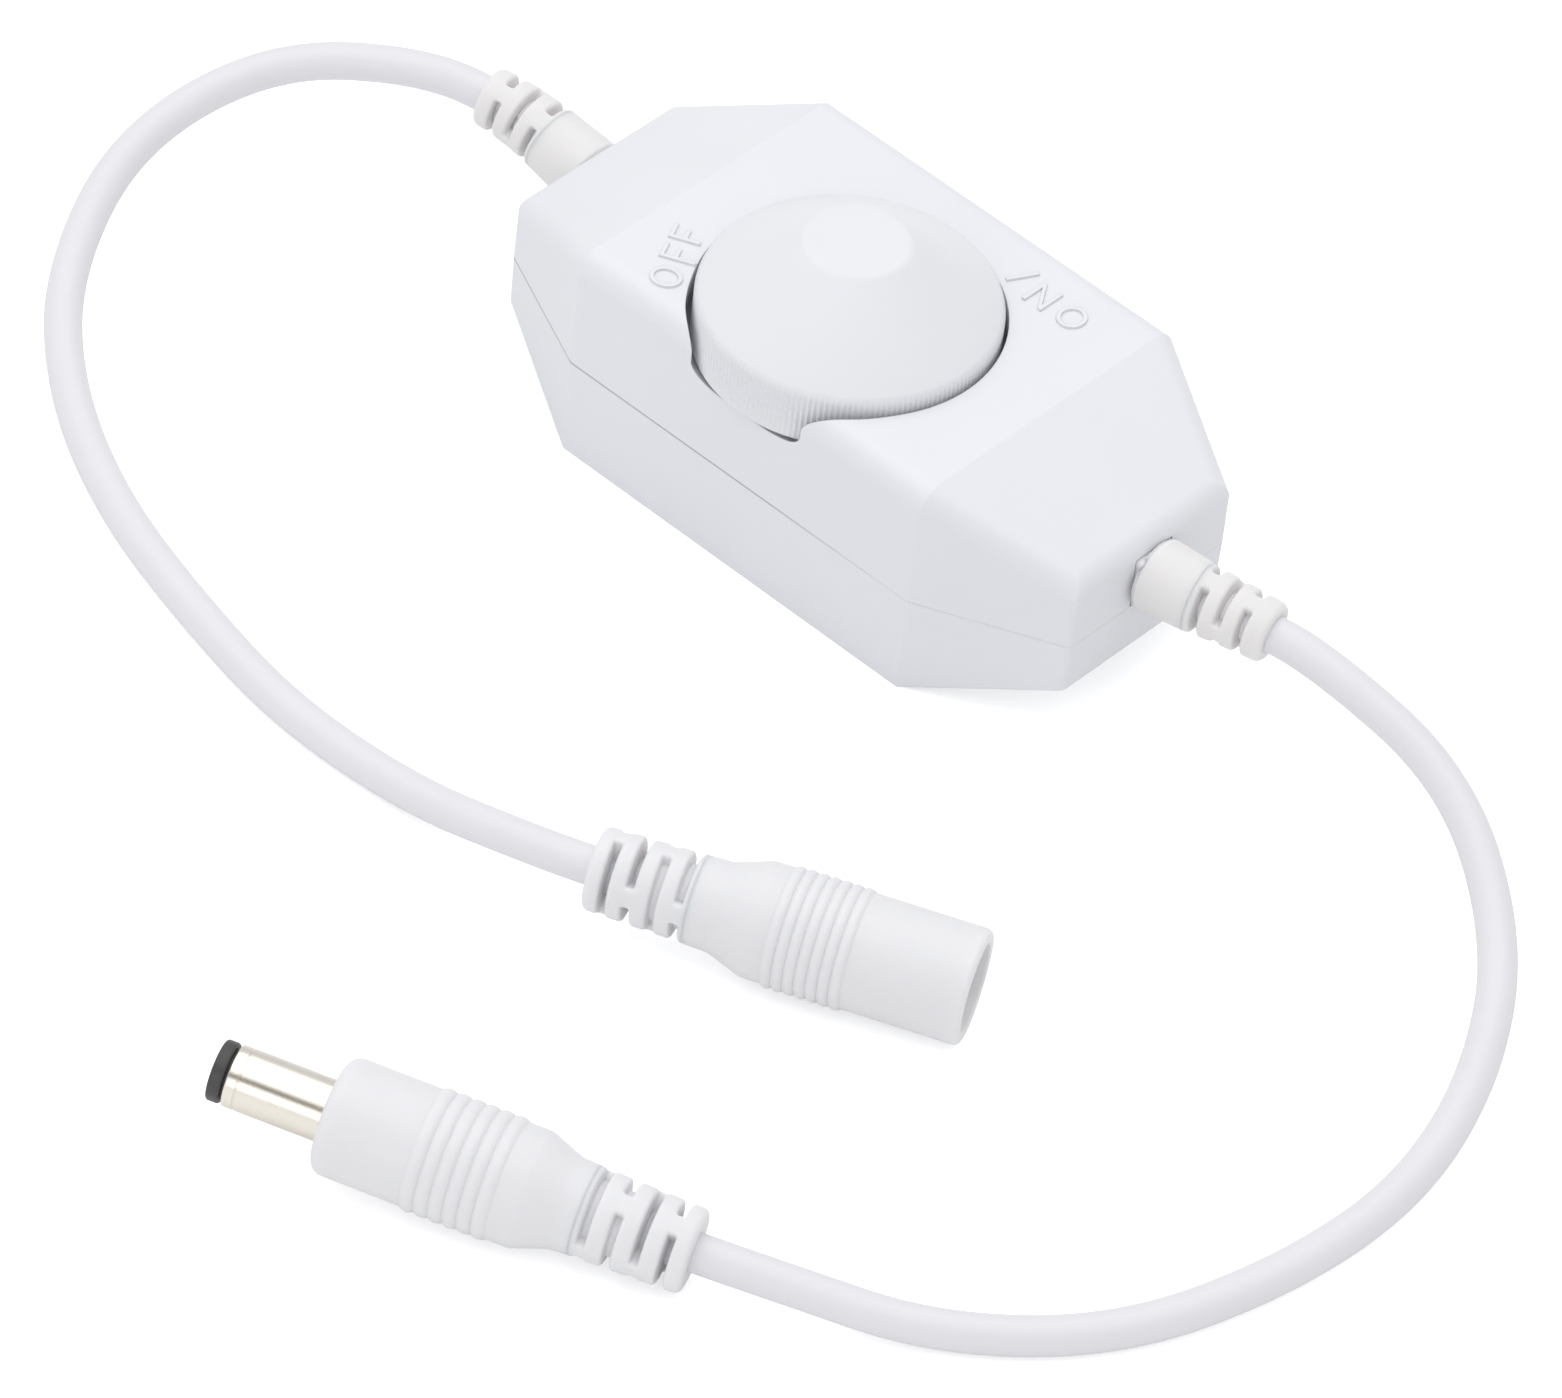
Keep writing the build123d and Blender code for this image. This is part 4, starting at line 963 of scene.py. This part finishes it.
@dataclass
class SlottedTail:
    """Slotted tail as one skin: rings and webs round soft-edged windows, with the cord seen inside.

    Args:
        slots: Centre of each window row along the track.
        cores: Radius left solid in each window row; zero leaves the cord bare.
        upright: Whether the webs of the first row stand at top and bottom.
        radii: Outer radius before the first window row and at the end of the collar.
        lead: Radius and station where the skin starts.
        end: Station of the collar's end.
        turn: Roll of the webs in degrees.
        width: Width of a window row's floor.
        web_half: Half of a web's width.
        soft: Edge radius of the windows.
        corner: Corner radius of the windows.
        collar: Edge radius of the collar's end.
        wall_slope: Steepness of a window's wall.
        cord_lap: How far a bare window's floor lies in the cord.
        inner_lap: How far the skin's inside lies in the cord.
    """

    slots: tuple[float, ...]
    cores: tuple[float, ...]
    upright: bool
    radii: tuple[float, float]
    lead: tuple[float, float]
    end: float
    turn: float = 0.0
    width: float = 0.76
    web_half: float = 1.05
    soft: float = 0.32
    corner: float = 0.25
    collar: float = 0.6
    wall_slope: float = 8.0
    cord_lap: float = 0.05
    inner_lap: float = 0.12

    def radius_at(self, station: float) -> float:
        """Outer radius at a station, without windows.

        Args:
            station: Distance along the track in millimetres.

        Returns:
            The radius in millimetres.
        """
        first = self.slots[0] - self.width / 2
        if station < first:
            share = (station - self.lead[1]) / (first - self.lead[1])
            return blend(self.lead[0], self.radii[0], share)
        share = (station - first) / (self.end - first)
        outer = blend(*self.radii, share)
        over = max(0.0, station - (self.end - self.collar))
        return outer - self.collar + math.sqrt(max(0.0, self.collar**2 - over**2))

    def surface(self, station: float, angle: float) -> float:
        """Radius of the skin at one spot.

        Args:
            station: Distance along the track in millimetres.
            angle: Angle round the track, without the roll.

        Returns:
            The radius in millimetres.
        """
        outer = self.radius_at(station)
        floor_drop = 0.0
        for index, slot in enumerate(self.slots):
            base = math.pi / 2 if self.upright == (index % 2 == 0) else 0.0
            apart = abs((angle - base + math.pi / 2) % math.pi - math.pi / 2)
            across = abs(station - slot) - self.width / 2 + self.corner
            around = self.web_half - apart * self.radii[0] + self.corner
            gap = math.hypot(max(across, 0.0), max(around, 0.0)) + min(max(across, around), 0.0) - self.corner
            if gap >= self.soft:
                continue
            depth = outer - max(self.cores[index], CORD_RADIUS - self.cord_lap)
            if gap > 0:
                drop = self.soft - math.sqrt(self.soft**2 - (self.soft - gap) ** 2)
            else:
                drop = self.soft - gap * self.wall_slope
            floor_drop = max(floor_drop, min(drop, depth))
        return outer - floor_drop

    def _grid(self) -> tuple[list[float], list[float]]:
        """Lays out the skin's points, close together at the windows' edges.

        Returns:
            Stations in millimetres and angles round the track.
        """
        steps = (-0.2, -0.12, -0.06, -0.02, 0.01, 0.04, 0.09, 0.16, 0.24, self.soft)
        collar_steps, round_steps = 8, 48
        stations = [self.lead[1]]
        for slot in self.slots:
            edge = self.width / 2
            stations += [slot - edge - step for step in reversed(steps)]
            stations += [slot + edge + step for step in steps]
        for step in range(collar_steps + 1):
            bow = math.sin(math.pi / 2 * step / collar_steps)
            stations.append(self.end - self.collar + self.collar * bow)
        angles = [2 * math.pi * step / round_steps for step in range(round_steps)]
        for quarter in range(4):
            for step in steps:
                offset = (self.web_half - step) / self.radii[0]
                angles += [quarter * math.pi / 2 + offset, (quarter * math.pi / 2 - offset) % (2 * math.pi)]
        return sorted(stations), sorted(set(round(angle, 4) for angle in angles))

    def add(self, maker: MeshMaker, track: Track) -> None:
        """Adds the skin to a mesh.

        Args:
            maker: The mesh to add to.
            track: Centre line.
        """
        stations, angles = self._grid()
        roll = math.radians(self.turn)
        inner = CORD_RADIUS - self.inner_lap
        rows: list[tuple[float, bool]] = [(self.lead[1], False)]
        rows += [(station, True) for station in stations]
        rows += [(self.end, False)]
        rings = []
        for station, shaped in rows:
            frame = track.frame(station * MM)
            ring = []
            for angle in angles:
                radius = self.surface(station, angle) if shaped else inner
                arm = Vector((math.cos(angle + roll), math.sin(angle + roll), 0))
                ring.append(frame @ (arm * (radius * MM)))
            rings.append(ring)
        maker.skin(rings, closed=True)


@dataclass
class StrainRelief:
    """Strain relief at one end of the casing, bent along its cord.

    Args:
        name: Name of the visual piece.
        node: CAD node it stands for.
        side: 1 for the output end and -1 for the input end.
        end: Station of the round body's end from the casing's end face.
        first: Station of the first window row.
        pitch: Distance between window rows.
        turn: Roll of the webs in degrees.
        start: Station of the round body's start.
        radii: Radius at the start and at the end.
        soft: Edge radius of the rings.
        plain: Distance from the plain body's end to the first window row.
        neck: Limit towards the middle, half width and heights of the neck in the end wall.
        flange: Limit towards the middle, half width and heights of the flange inside it.
    """

    name: str
    node: str
    side: int
    end: float
    first: float
    pitch: float
    turn: float
    start: float = 0.03
    radii: tuple[float, float] = (3.53, 2.85)
    soft: float = 0.32
    plain: float = 0.9
    neck: tuple[float, float, float, float] = (32.4, 2.3, 10.66, 16.0)
    flange: tuple[float, float, float, float] = (31.0, 4.4, 8.2, 15.9)

    def radius_at(self, station: float) -> float:
        """Outer radius at a station.

        Args:
            station: Distance from the casing's end face in millimetres.

        Returns:
            The radius in millimetres.
        """
        share = (station - self.start) / (self.end - self.start)
        return blend(*self.radii, share)

    def build(self, track: Track) -> bpy.types.Object:
        """Makes neck, body, rings and webs.

        Args:
            track: The cord's centre line.

        Returns:
            The strain relief object.
        """
        maker = MeshMaker(self.name)
        root = HALF_LENGTH - CORD_START_X + 0.1
        lead = self.first - self.plain
        tail = SlottedTail(
            slots=tuple(root + self.first + self.pitch * index for index in range(3)),
            cores=(0.0, 0.0, 0.0),
            upright=True,
            radii=(self.radius_at(self.first), self.radii[1]),
            lead=(self.radius_at(lead), root + lead),
            end=root + self.end,
            soft=self.soft,
            turn=self.turn,
        )
        low, high = root + self.start, root + lead
        inner = CORD_RADIUS - 0.02
        middle = (low + high) / 2
        waist = self.radii[0] - 0.3
        corners = [
            (inner, middle), (inner, low), (waist, low), (waist, low + 0.15), (self.radii[0], low + 0.4),
            (self.radius_at(lead), high), (inner, high), (inner, middle),
        ]
        maker.lathe(fillet(corners, {4: 0.25}, 5)[:-1], track, 96)
        tail.add(maker, track)
        self._block(maker, self.neck, HALF_LENGTH + self.start + 0.6)
        self._block(maker, self.flange, self.neck[0])
        piece = maker.finish(RELIEF, 40.0)
        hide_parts(self.node)
        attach(piece, "casing")
        return piece

    def _block(self, maker: MeshMaker, size: tuple[float, float, float, float], reach: float) -> None:
        """Adds a soft-edged block inside the casing's end.

        Args:
            maker: The mesh to add to.
            size: Its limit towards the middle of the casing, half width and heights.
            reach: Its limit away from the middle.
        """
        near, half, low, high = size
        corners = []
        for x in (near, reach):
            for y, z in ((-half, low), (half, low), (half, high), (-half, high)):
                corners.append(Vector((self.side * x, y, z)) * MM)
        maker.bar(corners, 0.25)


def straight(origin: Point, heading: float, rise: float) -> Track:
    """Axis of a connector.

    Args:
        origin: Its open end in millimetres.
        heading: Direction of the axis in plan, in degrees.
        rise: Slope of the axis, in degrees.

    Returns:
        The axis as a track.
    """
    plan, slope = math.radians(heading), math.radians(rise)
    level = math.cos(slope)
    along = Vector((level * math.cos(plan), level * math.sin(plan), math.sin(slope)))
    start = Vector(origin) * MM
    return Track([start, start + along * 0.06])


@dataclass
class Connector:
    """Moulded housing of a plug or a jack.

    Args:
        name: Name of the visual piece.
        node: CAD node it stands for.
        axis: Centre line from its open end.
        front: Station of the housing's front.
        rounding: Edge radius at the front.
        bore: Radius of the front opening and its depth.
        grip: Start, number and pitch of the ribs.
        taper: Start and end of the taper.
        slots: First slot and pitch of the slotted tail.
        end: Station of the tail's end.
        turn: Roll of the webs in degrees.
        radius: Radius of the grip.
        crest: Radius of a rib's crest.
        neck: Radius where the taper ends.
        tail: Radius of the slotted tail at its start and end.
        soft: Edge radius of the tail's rings.
        window_half: Distance from the first slot's centre to the taper's end.
        plain: Length of the tail's skin before that.
        overlap: Length by which hidden surfaces run on.
    """

    name: str
    node: str
    axis: Track
    front: float
    rounding: float
    bore: tuple[float, float]
    grip: tuple[float, int, float]
    taper: tuple[float, float]
    slots: tuple[float, float]
    end: float
    turn: float
    radius: float = 5.2
    crest: float = 5.45
    neck: float = 4.07
    tail: tuple[float, float] = (3.95, 3.75)
    soft: float = 0.34
    window_half: float = 0.44
    plain: float = 0.45
    overlap: float = 0.5

    def lead(self) -> tuple[float, float]:
        """Finds where the slotted tail's skin starts.

        Returns:
            Radius and station in millimetres.
        """
        far, slot_low = self.taper[1], self.slots[0] - self.window_half
        station = slot_low - self.plain
        share = (station - far) / (slot_low - far)
        return blend(self.neck, self.tail[0], share), station

    def profile(self) -> Profile:
        """Outline from the bore's floor over the housing to the first slot.

        Returns:
            Radius and station pairs in millimetres.
        """
        bore, depth = self.bore
        start, count, pitch = self.grip
        lead, lead_station = self.lead()
        outline: Profile = [
            (CORD_RADIUS, lead_station - self.overlap),
            (CORD_RADIUS, self.front + depth + self.overlap),
            (bore, self.front + depth),
            (bore, self.front),
            (self.radius, self.front),
            (self.radius, start),
        ]
        outline = fillet(outline, {3: 0.2, 4: self.rounding}, 8)
        rib_steps, taper_steps = 8, 12
        for index in range(count):
            low = start + index * pitch
            for step in range(1, rib_steps + 1):
                share = step / rib_steps
                rise = math.sin(math.pi * share) ** 0.7
                outline.append((blend(self.radius, self.crest, rise), low + pitch * share))
        for step in range(taper_steps + 1):
            share = step / taper_steps
            bend = 0.75 * share + 0.25 * ease(share)
            outline.append((blend(self.radius, self.neck, bend), blend(*self.taper, share)))
        return outline + [(lead, lead_station), (CORD_RADIUS, lead_station)]

    def build(self) -> bpy.types.Object:
        """Makes the housing with its slotted tail.

        Returns:
            The housing object.
        """
        maker = MeshMaker(self.name)
        maker.lathe(self.profile(), self.axis, 112)
        tail = SlottedTail(
            slots=tuple(self.slots[0] + self.slots[1] * index for index in range(4)),
            cores=(2.9, 2.9, 0.0, 0.0),
            upright=False,
            radii=self.tail,
            lead=self.lead(),
            end=self.end,
            turn=self.turn,
            soft=self.soft,
        )
        tail.add(maker, self.axis)
        piece = maker.finish(MOULDING, 38.0)
        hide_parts(self.node)
        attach(piece, "casing")
        return piece


@dataclass
class Barrel:
    """Bright sleeve of the plug with its fine turned line.

    Args:
        axis: Centre line from the plug's tip.
        radius: Outer radius.
        bore: Inner radius.
        start: Station of its front edge.
        line: Station of the turned line.
        end: Station of its back, inside the housing.
        line_depth: Depth of the turned line.
        line_half: Half of the line's width at the surface.
        rings: Stations of a ring inside the bore and of one on the outside.
    """

    axis: Track
    radius: float = 2.75
    bore: float = 2.2
    start: float = 1.45
    line: float = 2.5
    end: float = 16.2
    line_depth: float = 0.07
    line_half: float = 0.1
    rings: tuple[float, float] = (8.0, 6.0)

    def build(self) -> bpy.types.Object:
        """Makes the sleeve.

        Returns:
            The sleeve object.
        """
        maker = MeshMaker("plug_sleeve")
        groove = self.radius - self.line_depth
        half = self.line_half
        within, outside = self.rings
        corners = [
            (self.bore, within), (self.bore, self.start), (self.radius, self.start),
            (self.radius, self.line - half), (groove, self.line - half / 2), (groove, self.line + half / 2),
            (self.radius, self.line + half), (self.radius, outside), (self.radius, self.end),
            (self.bore, self.end), (self.bore, within),
        ]
        maker.lathe(fillet(corners, {1: 0.08, 2: 0.14}, 4)[:-1], self.axis, 128)
        piece = maker.finish(NICKEL, 30.0)
        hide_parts("plug_barrel")
        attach(piece, "casing")
        return piece


@dataclass
class CasingTop:
    """Upper shell with a narrower gap round the knob.

    Args:
        source: The CAD object of the upper shell.
        wall: Radius of the well's wall.
        foot: Radius at which the well's floor starts to rise.
        floor: Height of the well's floor.
        narrowing: How far the wall moves in.
        opening: Half angles from the front where the narrowing starts and is full, in degrees.
        slack: How far below the floor and outside the wall a point may lie and still move.
    """

    source: bpy.types.Object
    wall: float = 14.65
    foot: float = 12.85
    floor: float = 18.4
    narrowing: float = 0.4
    opening: tuple[float, float] = (36.0, 62.0)
    slack: tuple[float, float] = (0.01, 0.12)

    def shift(self, spot: Vector) -> Vector:
        """How far a point of the shell moves.

        Args:
            spot: The point in millimetres.

        Returns:
            The move in millimetres.
        """
        arm = Vector((spot.x - KNOB_CENTRE[0], spot.y - KNOB_CENTRE[1], 0.0))
        reach = arm.length
        below, outside = self.slack
        if spot.z < self.floor - below or not self.foot < reach < self.wall + outside:
            return Vector((0.0, 0.0, 0.0))
        from_front = math.degrees(arm.angle(Vector((0.0, -1.0, 0.0))))
        low, high = self.opening
        rise = min(1.0, (reach - self.foot) / (self.wall - self.foot))
        return arm.normalized() * (-self.narrowing * rise * ease(clamp((from_front - low) / (high - low))))

    def build(self) -> bpy.types.Object:
        """Makes the shell.

        Returns:
            The shell object.
        """
        data = self.source.data.copy()
        data.name = "casing_top"
        place = self.source.matrix_world
        back = place.inverted()
        for vertex in data.vertices:
            spot = place @ vertex.co
            vertex.co = back @ (spot + self.shift(spot / MM) * MM)
        piece = link_object("casing_top", data)
        piece.matrix_world = place
        paint(piece, CASE)
        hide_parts("upper_shell")
        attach(piece, "casing")
        return piece


@dataclass
class Casing:
    """The two shells and everything inside them, shown as the CAD solids.

    Args:
        nodes: The CAD object of each node.
    """

    nodes: dict[str, bpy.types.Object]

    def dress(self) -> None:
        """Paints every CAD node."""
        for name, node in self.nodes.items():
            paint(node, NODE_FINISHES[name])


def main() -> None:
    """Builds the whole scene in order."""
    logging.basicConfig(level=logging.INFO)
    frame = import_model()
    studio = Studio()
    studio.camera()
    plug_axis = straight(PLUG_ORIGIN, PLUG_HEADING, PLUG_RISE)
    jack_axis = straight(JACK_ORIGIN, JACK_HEADING, JACK_RISE)
    plug_tail = tuple(tuple(plug_axis.at(station * MM)[0] / MM) for station in PLUG_TAIL)
    jack_tail = tuple(tuple(jack_axis.at(station * MM)[0] / MM) for station in JACK_TAIL)
    output = Cord("output_cord_line", "output_cord", OUTPUT_ROUTE, plug_tail, "plug")
    supply = Cord("input_cord_line", "input_cord", INPUT_ROUTE, jack_tail, "connector")
    output_line = output.build()
    supply_line = supply.build()
    LOG.info("cords drawn")
    nodes = frame["nodes"]
    Casing(nodes).dress()
    CasingTop(nodes["upper_shell"]).build()
    LOG.info("casing dressed")
    Knob().build()
    LOG.info("knob built")
    StrainRelief(
        "output_relief", "output_strain_relief", side=1, end=12.4, first=5.75, pitch=2.15, turn=8.0
    ).build(output.track())
    StrainRelief(
        "input_relief", "input_strain_relief", side=-1, end=13.1, first=6.5, pitch=2.25, turn=-26.0
    ).build(supply.track())
    LOG.info("strain reliefs built")
    plug = Connector(
        "plug_moulding", "plug_housing", plug_axis, front=10.2, rounding=1.2, bore=(2.77, 6.0),
        grip=(18.45, 6, 1.28), taper=(28.1, 31.4), slots=(33.95, 2.35), end=PLUG_TAIL[0], turn=15.0,
    ).build()
    jack = Connector(
        "jack_moulding", "jack_housing", jack_axis, front=0.0, rounding=0.55, bore=(4.0, 12.0),
        grip=(10.6, 7, 1.03), taper=(19.6, 23.0), slots=(26.1, 2.2), end=JACK_TAIL[0], turn=18.0,
    ).build()
    sleeve = Barrel(plug_axis).build()
    LOG.info("connectors built")
    output.declare()
    supply.declare()
    studio.build()
    LOG.info("studio set")


def plain(limits: tuple[Vector, Vector]) -> list[list[float]]:
    """Bounds as plain lists."""
    return [[float(value) for value in corner] for corner in limits]


if __name__ == "__main__":
    main()
